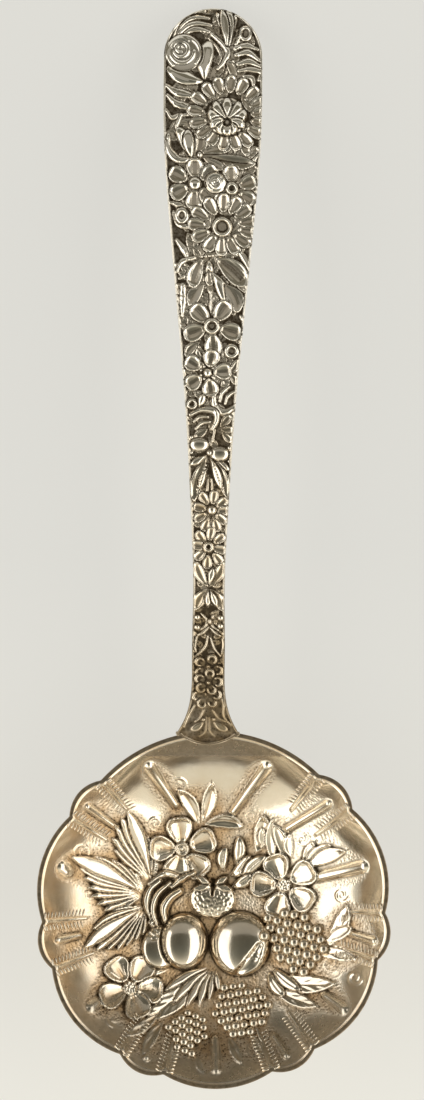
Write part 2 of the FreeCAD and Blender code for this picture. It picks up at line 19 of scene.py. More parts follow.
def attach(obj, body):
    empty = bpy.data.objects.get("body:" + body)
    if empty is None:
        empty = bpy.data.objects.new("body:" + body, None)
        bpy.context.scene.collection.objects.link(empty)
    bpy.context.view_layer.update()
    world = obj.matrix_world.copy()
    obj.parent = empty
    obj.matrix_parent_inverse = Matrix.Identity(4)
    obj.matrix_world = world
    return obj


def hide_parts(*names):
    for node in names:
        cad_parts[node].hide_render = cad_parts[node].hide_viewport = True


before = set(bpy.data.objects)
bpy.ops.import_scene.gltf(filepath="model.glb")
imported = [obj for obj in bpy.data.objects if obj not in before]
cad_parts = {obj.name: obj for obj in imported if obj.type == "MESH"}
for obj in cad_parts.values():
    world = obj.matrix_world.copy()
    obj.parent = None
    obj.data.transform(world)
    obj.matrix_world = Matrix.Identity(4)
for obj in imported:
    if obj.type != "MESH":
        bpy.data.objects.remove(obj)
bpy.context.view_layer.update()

# %% [markdown]
# ## Sizes
# Lengths here are in millimetres, and every mesh is turned into metres as it is made. The
# ornament was measured on the photograph in its pixels. One pixel is 0.214 mm, because the
# bowl is 76 mm across, so a place on the photograph is a place on the spoon.

# %% Sizes of the spoon
MM = 0.001
LENGTH = 230.0
RIM_R = 38.0
DEPTH = 19.0
WALL = 0.9
DISH_R = (RIM_R ** 2 + DEPTH ** 2) / (2 * DEPTH)
BOWL_Y = RIM_R - LENGTH / 2
TIP_Y = LENGTH / 2
RIM_Y = BOWL_Y + RIM_R
REACH = TIP_Y - RIM_Y
PIXEL = RIM_R / 177.66  # the bowl's radius on the photograph is 177.66 pixels
BOWL_PX = np.array([213.5, 907.5])


def to_px(x, y):
    """The pixel of the photograph over a place on the table."""
    return BOWL_PX[0] + x / PIXEL, BOWL_PX[1] - (y - BOWL_Y) / PIXEL


def from_px(px, py):
    """The place on the table under a pixel of the photograph."""
    return (px - BOWL_PX[0]) * PIXEL, BOWL_Y + (BOWL_PX[1] - py) * PIXEL


def px_ray(angle):
    """The direction on the photograph of an angle round the bowl, in degrees."""
    return np.array([cos(radians(angle)), -sin(radians(angle))])


def ramp(value):
    """0 below 0, 1 above 1, and a smooth rise between."""
    value = np.clip(value, 0, 1)
    return value * value * (3 - 2 * value)


def spline(xs, ys):
    """A smooth curve y(x) through the given points."""
    xs, ys = np.asarray(xs, float), np.asarray(ys, float)
    count, gap = len(xs), np.diff(xs)
    system, right = np.eye(count), np.zeros(count)
    for i in range(1, count - 1):
        system[i, i - 1:i + 2] = gap[i - 1], 2 * (gap[i - 1] + gap[i]), gap[i]
        right[i] = 6 * ((ys[i + 1] - ys[i]) / gap[i] - (ys[i] - ys[i - 1]) / gap[i - 1])
    second = np.linalg.solve(system, right)

    def value(x):
        x = np.asarray(x, float)
        i = np.clip(np.searchsorted(xs, x) - 1, 0, count - 2)
        a, b = (xs[i + 1] - x) / gap[i], (x - xs[i]) / gap[i]
        bend = ((a ** 3 - a) * second[i] + (b ** 3 - b) * second[i + 1]) * gap[i] ** 2 / 6
        return a * ys[i] + b * ys[i + 1] + bend

    return value


print("dish radius", DISH_R, "pixel", round(PIXEL, 4))

# %% [markdown]
# ## A relief map
# Repousse and die striking both turn a flat drawing into heights. The same is done here: a
# map of heights is drawn with a few strokes, each a form that a chaser would punch, and the
# mesh is then lifted by the map. Painting with one mask over another keeps the order in
# which the forms overlap, which separate small meshes would lose.


# %% The map and its strokes
MOAT_WIDE = 1.3
VEIN_RISE = 0.07
LINE_PITCH = 3.2
GOLDEN_ANGLE = 2.4


class Relief:
    """Heights in millimetres over a flat map, drawn in pixels of the photograph."""

    def __init__(self, left, top, right, bottom, step):
        self.left, self.top, self.step = left, top, step
        self.x = np.arange(left, right, step)
        self.y = np.arange(top, bottom, step)
        self.h = np.zeros((len(self.y), len(self.x)))

    def patch(self, points, margin):
        """The part of the map round some points, with the places of its cells."""
        points = np.atleast_2d(np.asarray(points, float))
        low = (points.min(0) - margin - (self.left, self.top)) / self.step
        high = (points.max(0) + margin - (self.left, self.top)) / self.step
        c0, r0 = np.maximum(low.astype(int), 0)
        c1, r1 = np.maximum(high.astype(int) + 2, 0)
        x, y = np.meshgrid(self.x[c0:c1], self.y[r0:r1])
        return (slice(r0, r1), slice(c0, c1)), x, y

    def cover(self, where, gap, height, edge=0.9, moat=0.8):
        """Lays a form over what is there. gap is the distance inside its outline."""
        self.h[where] *= 1 - moat * ramp((gap + MOAT_WIDE) / MOAT_WIDE)
        mask = ramp(gap / edge)
        self.h[where] = self.h[where] * (1 - mask) + height * mask

    def sample(self, grid, px, py):
        """The value of a grid of this map between its cells."""
        col = np.clip((px - self.left) / self.step, 0, len(self.x) - 1.001)
        row = np.clip((py - self.top) / self.step, 0, len(self.y) - 1.001)
        c, r = col.astype(int), row.astype(int)
        a, b = col - c, row - r
        upper = grid[r, c] * (1 - a) + grid[r, c + 1] * a
        lower = grid[r + 1, c] * (1 - a) + grid[r + 1, c + 1] * a
        return upper * (1 - b) + lower * b


def blade(relief, root, tip, width, top, hollow=0.3, full=0.5, belly=0.6, bend=0.0,
          soft=0.6, groove=0.0, veins=0, moat=0.8, lift=0.6, lines=0.0):
    """A petal or a leaf from its root to its tip, cupped, or swollen where hollow is below 0."""
    root, tip = np.array(root, float), np.array(tip, float)
    length = np.hypot(*(tip - root))
    ux, uy = (tip - root) / length
    where, x, y = relief.patch([root, tip], width * 0.6 + abs(bend) + 3)
    u = ((x - root[0]) * ux + (y - root[1]) * uy) / length
    v = (y - root[1]) * ux - (x - root[0]) * uy - bend * 4 * u * (1 - u)
    along = np.clip(u, 0, 1)
    half = width / 2 * np.sin(pi * along ** (np.log(0.5) / np.log(belly))) ** full
    gap = np.minimum(half - np.abs(v), np.minimum(u * 1.5, 1 - u) * length)
    cup = np.clip(1 - (v / np.maximum(half, 0.1)) ** 2, 0, 1) * ramp(u * 5) * ramp((1 - u) * 5)
    inner = cup if soft > 1 else ramp((cup - 0.12) / soft)
    height = top - hollow * inner - groove * np.exp(-(v / 0.9) ** 2) * ramp((1 - u) * 4)
    if veins:
        height = height + VEIN_RISE * np.cos(2 * pi * (veins * u - 0.16 * np.abs(v))) * inner
    height = height + lines * np.cos(2 * pi * v / LINE_PITCH) * inner
    relief.cover(where, gap, height * (lift + (1 - lift) * ramp(u / 0.4)), moat=moat)


def petals(relief, centre, middles, long, width, top, hollow=0.3, **more):
    """Petals of one flower, each given by its middle."""
    for middle in middles:
        ray = np.array(middle, float) - centre
        ray = ray / np.hypot(*ray) * long / 2
        blade(relief, middle - ray, middle + ray, width, top, hollow, **more)


def rounded(points, closed=False, step=0.5):
    """A smooth line through points, sampled closely."""
    points = np.asarray(points, float)
    if closed:
        points = np.vstack([points[-1], points, points[:2]])
    else:
        points = np.vstack([2 * points[0] - points[1], points, 2 * points[-1] - points[-2]])
    line = []
    for a, b, c, d in zip(points, points[1:], points[2:], points[3:]):
        count = max(int(np.hypot(*(c - b)[:2]) / step), 2)
        t = np.arange(count)[:, None] / count
        line.append(0.5 * (2 * b + (c - a) * t + (2 * a - 5 * b + 4 * c - d) * t ** 2
                           + (3 * b - a - 3 * c + d) * t ** 3))
    line.append(points[None, -2] if not closed else points[None, 1])
    return np.vstack(line)


def ridge(relief, points, widths, top, closed=False, moat=0.0, round_power=0.7):
    """A raised line through points. widths are at its start, middle and end."""
    line = rounded(points, closed)
    widest = max(widths) / 2
    where, x, y = relief.patch(line, widest + 2)
    best = np.full(x.shape, 1e9)
    share = np.zeros(x.shape)
    for i, (lx, ly) in enumerate(line):
        far = (x - lx) ** 2 + (y - ly) ** 2
        near = far < best
        best[near] = far[near]
        share[near] = i / (len(line) - 1)
    far = np.sqrt(best)
    half = np.interp(share, (0, 0.5, 1), widths) / 2
    if moat:
        relief.h[where] *= 1 - moat * ramp((half + MOAT_WIDE - far) / MOAT_WIDE)
    relief.h[where] += top * np.clip(1 - (far / np.maximum(half, 0.1)) ** 2, 0, 1) ** round_power


def dome(relief, centre, radius, top, stretch=1.0, moat=0.8, square=0.5):
    """A ball, or a fruit of another width and height."""
    where, x, y = relief.patch([centre], radius * max(stretch, 1) + 3)
    far = np.hypot(x - centre[0], (y - centre[1]) / stretch)
    height = top * np.clip(1 - (far / radius) ** 2, 0, 1) ** square
    relief.cover(where, radius - far, height, edge=0.6, moat=moat)


def circle(centre, radius, stretch=1.0, start=0, stop=360, steps=12):
    """Points round a centre, or on a part of the round."""
    turns = np.radians(np.linspace(start, stop, steps, endpoint=stop - start < 360))
    return [(centre[0] + radius * cos(t), centre[1] + radius * stretch * sin(t)) for t in turns]


def ring(relief, centre, radius, wide, top, stretch=1.0, moat=0.8, floor=0.1):
    """A raised ring round a dark hole."""
    dome(relief, centre, radius + wide / 2, floor, stretch, moat, square=0.1)
    ridge(relief, circle(centre, radius, stretch), (wide,) * 3, top, closed=True)


def spiral(centre, radius, turns, start, inner=0.1):
    """Points of a tendril that curls in to its centre."""
    steps = int(turns * 12)
    points = []
    for i in range(steps + 1):
        reach = radius * (1 - (1 - inner) * i / steps)
        angle = radians(start + 360 * turns * i / steps)
        points.append((centre[0] + reach * cos(angle), centre[1] + reach * sin(angle)))
    return points


def seed_spot(centre, i, shift, spacing, stretch=1.0):
    """The place of one seed of a head, which wind outwards from its centre."""
    angle = GOLDEN_ANGLE * i
    return centre + spacing * sqrt(i + shift) * np.array([cos(angle), stretch * sin(angle)])


def pits(relief, count, corner, row_pitch, sway, wide, depth):
    """Small pits in rows of five."""
    for i in range(count):
        spot = np.array([corner[0] + 2.6 * (i % 5), corner[1] + row_pitch * (i // 5) + sway * sin(2.2 * i)])
        ridge(relief, [spot, spot + (0.6, 0.6)], (wide,) * 3, -depth)


def blurred(grid, cells):
    """A grid averaged over a square of 2 * cells + 1, twice."""
    for _ in range(2):
        for axis in (0, 1):
            pads = [(cells + 1, cells) if i == axis else (0, 0) for i in (0, 1)]
            total = np.cumsum(np.pad(grid, pads, mode="edge"), axis)
            span = 2 * cells + 1
            grid = (np.take(total, range(span, total.shape[axis]), axis)
                    - np.take(total, range(total.shape[axis] - span), axis)) / span
    return grid


# %% [markdown]
# ## The bowl's ornament
# Two plums with a third behind them lie left of the middle, with a strawberry above and three
# flowers, and leaves of several kinds fan out to the left, the top and the right. A drop
# stands in each lobe of the rim. Each table gives places on the photograph, and its order is
# the order of the overlaps, from the lowest form to the highest.

# %% Draw the bowl's relief
bowl_map = Relief(30, 725, 398, 1091, 0.5)
LOBES = [79] + [16, 37] * 5 + [16]
LOBE_EDGES = np.cumsum([0] + LOBES)
FIRST_NOTCH = 52.0
NOTCHES = LOBE_EDGES[:-1] + FIRST_NOTCH
for notch_angle in NOTCHES:
    crease = [BOWL_PX + px_ray(notch_angle) * reach for reach in (173, 150, 126)]
    ridge(bowl_map, crease, (10, 7, 4), 0.62, round_power=2)
DROPS = (
    # head, tail, radius at the head, radius at the tail
    ((151, 767), (176, 804), 7.2, 4.6), ((265, 767), (233, 811), 7.2, 4.6),
    ((90, 806), (117, 826), 5, 3.4), ((66, 866), (69, 870), 8.6, 7.4),
    ((61, 937), (81, 933), 5.2, 3.4), ((94, 1003), (98, 1000), 8, 7),
    ((147.5, 1053), (149, 1047), 5.4, 4.4), ((216, 1065), (215, 1036), 6.6, 5.4),
    ((285, 1051), (273, 1033), 5.2, 4), ((341, 1005), (324, 993), 7, 5.4),
    ((371, 938), (349, 931), 5.2, 3.6), ((360, 865), (316, 876), 7.8, 6.2),
    ((326, 803), (286, 828), 5.6, 4.6),
)
for head, tail, head_r, tail_r in DROPS:
    path = [head, np.add(head, tail) / 2, tail]
    ridge(bowl_map, path, (2 * head_r, head_r + tail_r, 2 * tail_r), 1.35, round_power=1.1)
TENDRILS = (
    ((180, 785), 6, 200), ((156, 822), 5, 90), ((251, 815), 5, 0), ((84, 851), 6, 160),
    ((90, 893), 5, 200), ((330, 962), 6, 30), ((302, 838), 5, 300), ((115, 1015), 6, 100),
    ((341, 893), 5, 20), ((186, 1041), 5, 80), ((253, 1045), 6, 350), ((354, 975), 5, 20),
)
for centre, radius, start in TENDRILS:
    ridge(bowl_map, spiral(centre, 1.5 * radius, 1.3, start, 0.2), (1.8, 2.4, 2), 0.24)
PLUMES = (
    # the root of a plume and the tips of its blades, the leading one last
    ((152, 884), ((120, 858), (114, 848), (112, 836), (149, 852), (146, 842), (116, 826), (141, 831),
                  (121, 816), (137, 822), (128, 810))),
    ((146, 894), ((113, 914), (104, 910), (97, 903), (91, 895), (88, 886), (122, 868), (114, 862),
                  (84, 876), (104, 857), (80, 866), (90, 855), (72, 855))),
    ((148, 905), ((143, 934), (136, 940), (127, 945), (103, 920), (118, 949), (93, 928), (108, 949),
                  (97, 949), (85, 946))),
)
for root, tips in PLUMES:
    for tip in tips:
        wide = max(0.2 * np.hypot(*np.subtract(tip, root)), 11)
        blade(bowl_map, root, tip, wide, 0.75, -0.7, full=0.8, belly=0.66, bend=3, soft=1.1, moat=0.85)
LEAVES = (
    # root, tip, width, top, hollow, fullness, bend, groove, veins
    ((199, 824), (178.5, 788), 15, 0.95, 0.6, 0.7, 3, 0.15, 0),
    ((202, 822), (212, 781), 15, 0.95, 0.6, 0.7, 2, 0.15, 0),
    ((204, 824), (244, 826), 15, 0.95, 0.5, 0.7, -5, 0.2, 0),
    ((256, 852), (263, 814), 19, 1.1, 0.75, 0.7, 3, 0, 0),
    ((262, 848), (262, 826), 9, 1.0, 0.3, 0.7, 0, 0, 0),
    ((275, 866), (272, 817), 11, 0.95, 0.5, 0.8, -3, 0, 0),
    ((285, 862), (273, 822), 13, 0.85, 0.5, 0.8, 3, 0, 0),
    ((292, 858), (290, 832), 10, 0.8, 0.4, 0.8, -3, 0, 0),
    ((303, 864), (313, 840), 12, 1.1, 0.4, 0.7, 0, 0, 0),
    ((303, 865), (331, 843), 12, 1.1, 0.4, 0.7, -2, 0, 0),
    ((305, 867), (346, 849), 15, 1.1, 0.2, 0.8, -3, 0.1, 0),
    ((326, 946), (347, 902), 17, 0.75, 0.2, 0.8, 3, 0.2, 6),
    ((324, 940), (352, 925), 12, 0.75, 0.3, 0.8, 0, 0, 0),
    ((310, 950), (356, 957), 13, 0.7, 0.3, 0.8, -2, 0.1, 5),
    ((262, 977), (336, 981), 19, 0.8, 0.15, 0.8, 3, 0.22, 9),
    ((268, 984), (318, 1004), 15, 0.75, 0.2, 0.8, 2, 0.2, 7),
    ((205, 966), (146, 1018), 24, 0.8, 0.15, 0.8, -3, 0.25, 10),
    ((170, 968), (140, 972), 13, 0.7, 0.2, 0.8, 2, 0.2, 5),
    ((228, 1033), (241, 1061), 11, 0.7, 0.3, 0.8, 0, 0.15, 4),
    ((248, 1030), (262, 1056), 10, 0.7, 0.3, 0.8, -2, 0.15, 4),
    ((165, 1018), (143, 1052), 12, 0.7, 0.3, 0.8, 2, 0.15, 4),
    ((160, 1010), (126, 1033), 12, 0.7, 0.3, 0.8, -2, 0.15, 4),
    ((194, 1052), (204, 1070), 8, 0.6, 0.2, 0.8, 0, 0.1, 0),
    ((224, 872), (226, 845), 12, 0.9, -0.5, 0.6, -3, 0.2, 0),
    ((236, 866), (239, 835), 13, 1.0, -0.5, 0.6, 2, 0.2, 0),
    ((230, 876), (250, 854), 14, 1.0, -0.55, 0.6, 3, 0.2, 0),
    ((241, 880), (266, 855), 13, 1.0, -0.5, 0.6, -3, 0.2, 0),
    ((232, 886), (252, 873), 12, 1.0, -0.4, 0.6, 2, 0.2, 0),
    ((209, 966), (164, 990), 9, 0.7, -0.35, 0.8, 3, 0, 0),
    ((210, 968), (173, 1002), 9, 0.7, -0.35, 0.8, 3, 0, 0),
    ((212, 968), (186, 1006), 9, 0.7, -0.35, 0.8, 2, 0, 0),
    ((213, 968), (199, 1006), 8, 0.7, -0.35, 0.8, 2, 0, 0),
    ((214, 968), (209, 1000), 7, 0.7, -0.35, 0.8, 0, 0, 0),
    ((216, 968), (219, 990), 7, 0.7, -0.35, 0.8, 0, 0, 0),
    ((268, 970), (284, 994), 13, 0.9, -0.45, 0.6, 2, 0.2, 0),
    ((272, 966), (300, 988), 13, 0.9, -0.45, 0.6, 2, 0.2, 0),
)
for root, tip, width, top, hollow, full, bend, groove, veins in LEAVES:
    blade(bowl_map, root, tip, width, top, hollow, full, 0.55, bend, 1.1, groove, 0.6 * veins)
BOWL_FLOWERS = (
    # centre, middles of the petals, whether the centre is a ball in a ring
    ((182.2, 848.2), ((179.8, 829.4), (202.6, 840.6), (196.2, 864), (177.2, 865.8), (162.8, 847.4)), 1),
    ((283.7, 884.3), ((276.8, 866), (302, 873), (300.8, 896.6), (278, 903.6), (263.2, 883)), 0),
    ((130.3, 985.7), ((118.9, 968.4), (141, 968.4), (150, 988), (137.2, 1003), (113.6, 992.4)), 0),
)
for centre, middles, ringed in BOWL_FLOWERS:
    petals(bowl_map, np.array(centre), middles, 27, 27, 1.35, 1.05, full=0.36, belly=0.64, soft=1.1, moat=0.9)
    for middle in middles:
        away = np.subtract(middle, centre)
        for side in (-0.35, 0, 0.35):
            ray = np.array([away[0] - side * away[1], away[1] + side * away[0]])
            ridge(bowl_map, [centre + ray * share for share in (0.4, 0.7, 1.15)], (1.6, 1.6, 1), -0.12)
    dome(bowl_map, centre, 7.4, 0.75, square=0.35)
    if ringed:
        ridge(bowl_map, circle(centre, 6), (2.6,) * 3, 0.5, closed=True)
        dome(bowl_map, centre, 3.2, 1.1, moat=0.4)
    else:
        for i in range(19):
            dome(bowl_map, seed_spot(centre, i, 0, 1.55), 1.7, 1.05, moat=0.1)
CURLS = (
    # the turned-over edges of the leaf beside the left plum
    (((150, 921), (160, 928), (172, 926)), (5, 8, 3), 1.0),
    (((180, 876), (164, 873), (150, 883)), (5, 9, 5), 1.2),
    (((160, 880), (150, 889), (147, 904), (153, 920)), (5, 9, 4), 1.3),
    (((170, 882), (158, 893), (153, 908), (158, 926)), (5, 8, 4), 1.4),
    (((194, 872), (183, 877), (172, 886)), (5, 8, 5), 1.3),
    (((180, 890), (170, 897), (164, 909), (168, 927)), (8, 11, 5), 2.0),
)
for points, widths, top in CURLS:
    ridge(bowl_map, points, widths, top, moat=0.8, round_power=0.6)
STRAWBERRY = (212.5, 898)
dome(bowl_map, STRAWBERRY, 23.5, 1.8, 0.84, moat=0.4)
chance = np.random.default_rng(5)
for i in range(60):
    seed = seed_spot(STRAWBERRY, i, 0.5, 2.6, 0.84) + chance.uniform(-0.8, 0.8, 2)
    ridge(bowl_map, [seed, seed + (0.3, 0.9)], (2.3,) * 3, -chance.uniform(0.1, 0.26))
SEPALS = (((212, 885), (193, 888)), ((212, 884), (197, 876)), ((213, 884), (228, 876)),
          ((213, 885), (233, 889)))
for root, tip in SEPALS:
    blade(bowl_map, root, tip, 7, 2.05, 0.3, full=0.8, lift=0.9, moat=0.3)
ridge(bowl_map, ((213, 880), (213, 886), (212, 894)), (7, 5, 3), -1.1, round_power=1.2)
dome(bowl_map, (161, 946), 19.5, 2.1, 1.1)
pits(bowl_map, 9, (150, 932), 4, 2.5, 2.8, 0.3)
dome(bowl_map, (184, 940), 23.6, 3.6, 1.2)
dome(bowl_map, (240, 942.5), 30, 3.9, 1.08)
ridge(bowl_map, ((236, 972), (249, 961), (259, 944)), (8, 17, 8), -0.75, round_power=1.6)
pits(bowl_map, 10, (250, 951), 6, 1.6, 2.2, 0.14)
MOUNDS = (((294, 939), 28, 0.9), ((240, 1008), 27, 0.9), ((189, 1028), 21, 0.8))
between_berries = np.zeros_like(bowl_map.h)
for centre, radius, top in MOUNDS:
    where, x, y = bowl_map.patch([centre], radius + 2)
    far = np.hypot(x - centre[0], y - centre[1]) / radius
    bowl_map.h[where] = np.maximum(bowl_map.h[where], top * np.clip(1 - far ** 2, 0, 1))
    between_berries[where] = np.maximum(between_berries[where], ramp((0.96 - far) / 0.16))
print("bowl relief", bowl_map.h.shape, round(float(bowl_map.h.max()), 2), "mm high")

# %% [markdown]
# ## The handle's ornament
# The dies struck roses, daisies, tulips, a snowdrop and small blossoms one below the other.
# Heights are above the sunk ground. The photograph shows the handle turned by half a degree,
# so a place across the handle is measured from the handle's own middle line.

# %% Draw the handle's relief
handle_map = Relief(150, 0, 280, 750, 0.4)


AXIS = ((0, 215.6), (100, 215.2), (330, 212.6), (430, 212.3), (617, 211.9), (700, 210.3), (745, 209.8))
HALF_WIDTHS = ((10, 16), (40, 47), (100, 48), (200, 43), (300, 35), (450, 21), (560, 16), (700, 17),
               (745, 30))


def axis_px(py):
    """The handle's middle line on the photograph."""
    return np.interp(py, *zip(*AXIS))


chance = np.random.default_rng(12)
UNDERSTORY_ROWS, UNDERSTORY_PITCH = 142, 4.85
for row in range(UNDERSTORY_ROWS):
    py = 12 + UNDERSTORY_PITCH * row
    half = np.interp(py, *zip(*HALF_WIDTHS))
    for side in (-1, 1):
        root = np.array([axis_px(py) + side * half * chance.uniform(-0.1, 0.6), py + chance.uniform(-3, 3)])
        long = np.clip(half * chance.uniform(0.45, 0.8), 11, 25)
        heading = radians(chance.uniform(-80, 80))
        tip = root + long * np.array([side * cos(heading), sin(heading)])
        blade(handle_map, root, tip, 0.5 * long, chance.uniform(0.26, 0.4), 0.14, 0.7, 0.55,
              chance.uniform(-2, 2), 0.6, 0.08, veins=3, moat=0.7)
HANDLE_LINES = (
    # points, widths at start, middle and end, height
    (((176, 40), (181, 24), (193, 14), (207, 13)), (3, 6, 3), 0.45),
    (((178, 40), (186, 26), (197, 19), (211, 20)), (3, 6, 3), 0.5),
    (((180, 38), (190, 28), (200, 25), (213, 27)), (3, 6, 3), 0.5),
    (((184, 38), (193, 32), (202, 31), (212, 34)), (3, 6, 3), 0.45),
    (((214, 36), (224, 45), (230, 54), (226, 64), (220, 71)), (4, 6, 3), 0.6),
    (((211, 40), (219, 49), (223, 58), (221, 66)), (2, 3, 2), 0.35),
    (((237, 50), (248, 47), (260, 51)), (4, 6, 3), 0.55),
    (((238, 57), (250, 54), (261, 62)), (4, 7, 4), 0.6),
    (((240, 66), (251, 63), (262, 68)), (4, 7, 4), 0.55),
    (((240, 73), (252, 71), (263, 74), (261, 82)), (3, 6, 3), 0.5),
    (((246, 78), (254, 80), (256, 88)), (3, 6, 3), 0.45),
    (((169, 88), (178, 94), (190, 97), (200, 99)), (4, 9, 4), 0.5),
    (((170, 98), (179, 106), (192, 110), (199, 116)), (4, 8, 4), 0.45),
    (((168.5, 112), (174, 120), (182, 118), (192, 117)), (3, 5, 2), 0.45),
    (((184, 117), (180, 126), (179, 132)), (3, 4, 3), 0.55),
    (((171, 138), (171, 152), (181, 162), (196, 162)), (4, 9, 4), 0.6),
    (((204, 153), (206, 146), (208.5, 141)), (3, 3, 2), 0.5),
    (((244, 170), (253, 166), (260, 157)), (3, 6, 2), 0.5),
    (((172, 205), (180, 207), (188, 210)), (3, 6, 3), 0.45),
    (((176, 215), (182, 226), (192, 230)), (4, 8, 4), 0.45),
    (((179, 243), (186, 252), (190, 262)), (4, 7, 3), 0.45),
    (((179, 274), (184, 264), (196.6, 260)), (3, 5, 3), 0.5),
    (((181, 281), (189, 277), (195, 268)), (2, 4, 2), 0.45),
    (((240, 252), (247, 262), (250, 272)), (4, 7, 3), 0.45),
    (((185, 288), (185, 302), (184, 318)), (6, 8, 3), 0.55),
    (((212.4, 293), (212.4, 312)), (2, 2, 2), 0.45),
    (((242, 318), (246, 326), (244, 334)), (3, 5, 2), 0.45),
    (((230, 372), (238, 367), (242, 361)), (3, 4, 2), 0.5),
    (((230, 376), (236, 381), (240, 385)), (3, 4, 2), 0.5),
    (((215.4, 396), (217.3, 408), (226, 413.6), (238, 407)), (5, 8, 4), 0.6),
    (((222, 403), (224, 394), (231, 388)), (2, 4, 2), 0.5),
    (((227, 405), (230, 397), (238, 392)), (2, 4, 2), 0.5),
    (((192.4, 416), (203.3, 411), (216, 412), (219, 420), (214.7, 430)), (4, 7, 4), 0.6),
    (((196, 423), (202, 418), (210, 418)), (2, 4, 2), 0.5),
    (((198, 430), (204, 424), (212, 423)), (2, 4, 2), 0.5),
    (((216.7, 431), (214.7, 442.6)), (2, 2, 2), 0.45),
    (((210, 480), (210, 491)), (2, 2, 2), 0.4), (((214.5, 480), (214.5, 490)), (2, 2, 2), 0.4),
    (((204.7, 613.3), (210, 619.4), (208.8, 625.5), (201.6, 629.6)), (2.4, 3.4, 2.4), 0.55),
    (((216.4, 615.3), (214, 620.4), (216, 626), (221, 629)), (2.4, 3.4, 2.4), 0.55),
    (((200.6, 635), (207, 631), (211.8, 626.5)), (2, 3.4, 2), 0.55),
    (((223, 635), (218, 632), (213.9, 627.6)), (2, 3.4, 2), 0.55),
    (((200, 636), (198, 644), (199, 651)), (2, 3, 2), 0.55),
    (((225.5, 638), (226, 646), (224, 654)), (2, 3, 2), 0.55),
    (((211, 635), (208, 646), (198, 656)), (2, 3.2, 2), 0.6),
    (((213.4, 637), (217, 647), (223, 655)), (2, 3.2, 2), 0.6),
    (((221.5, 690), (225.6, 702), (226, 715), (233, 723.5)), (2.4, 3, 2.4), 0.5),
    (((215, 709), (220, 716), (227, 720)), (2, 2.4, 2), 0.45),
    (((198.6, 702), (192, 712), (186.3, 725.5)), (2.4, 3, 2.4), 0.5),
    (((206.2, 708), (202.6, 716), (197.5, 720.4)), (2, 2.4, 2), 0.45),
    (((208.6, 716), (207.6, 730), (202, 735.5)), (2, 2.4, 2), 0.25),
    (((211.4, 716), (212, 730), (217, 735.5)), (2, 2.4, 2), 0.25),
    (((194.5, 728), (200, 725), (206, 721.5)), (2, 3.6, 2), 0.45),
    (((216, 721.5), (223, 725), (228.5, 728.5)), (2, 3.6, 2), 0.45),
)
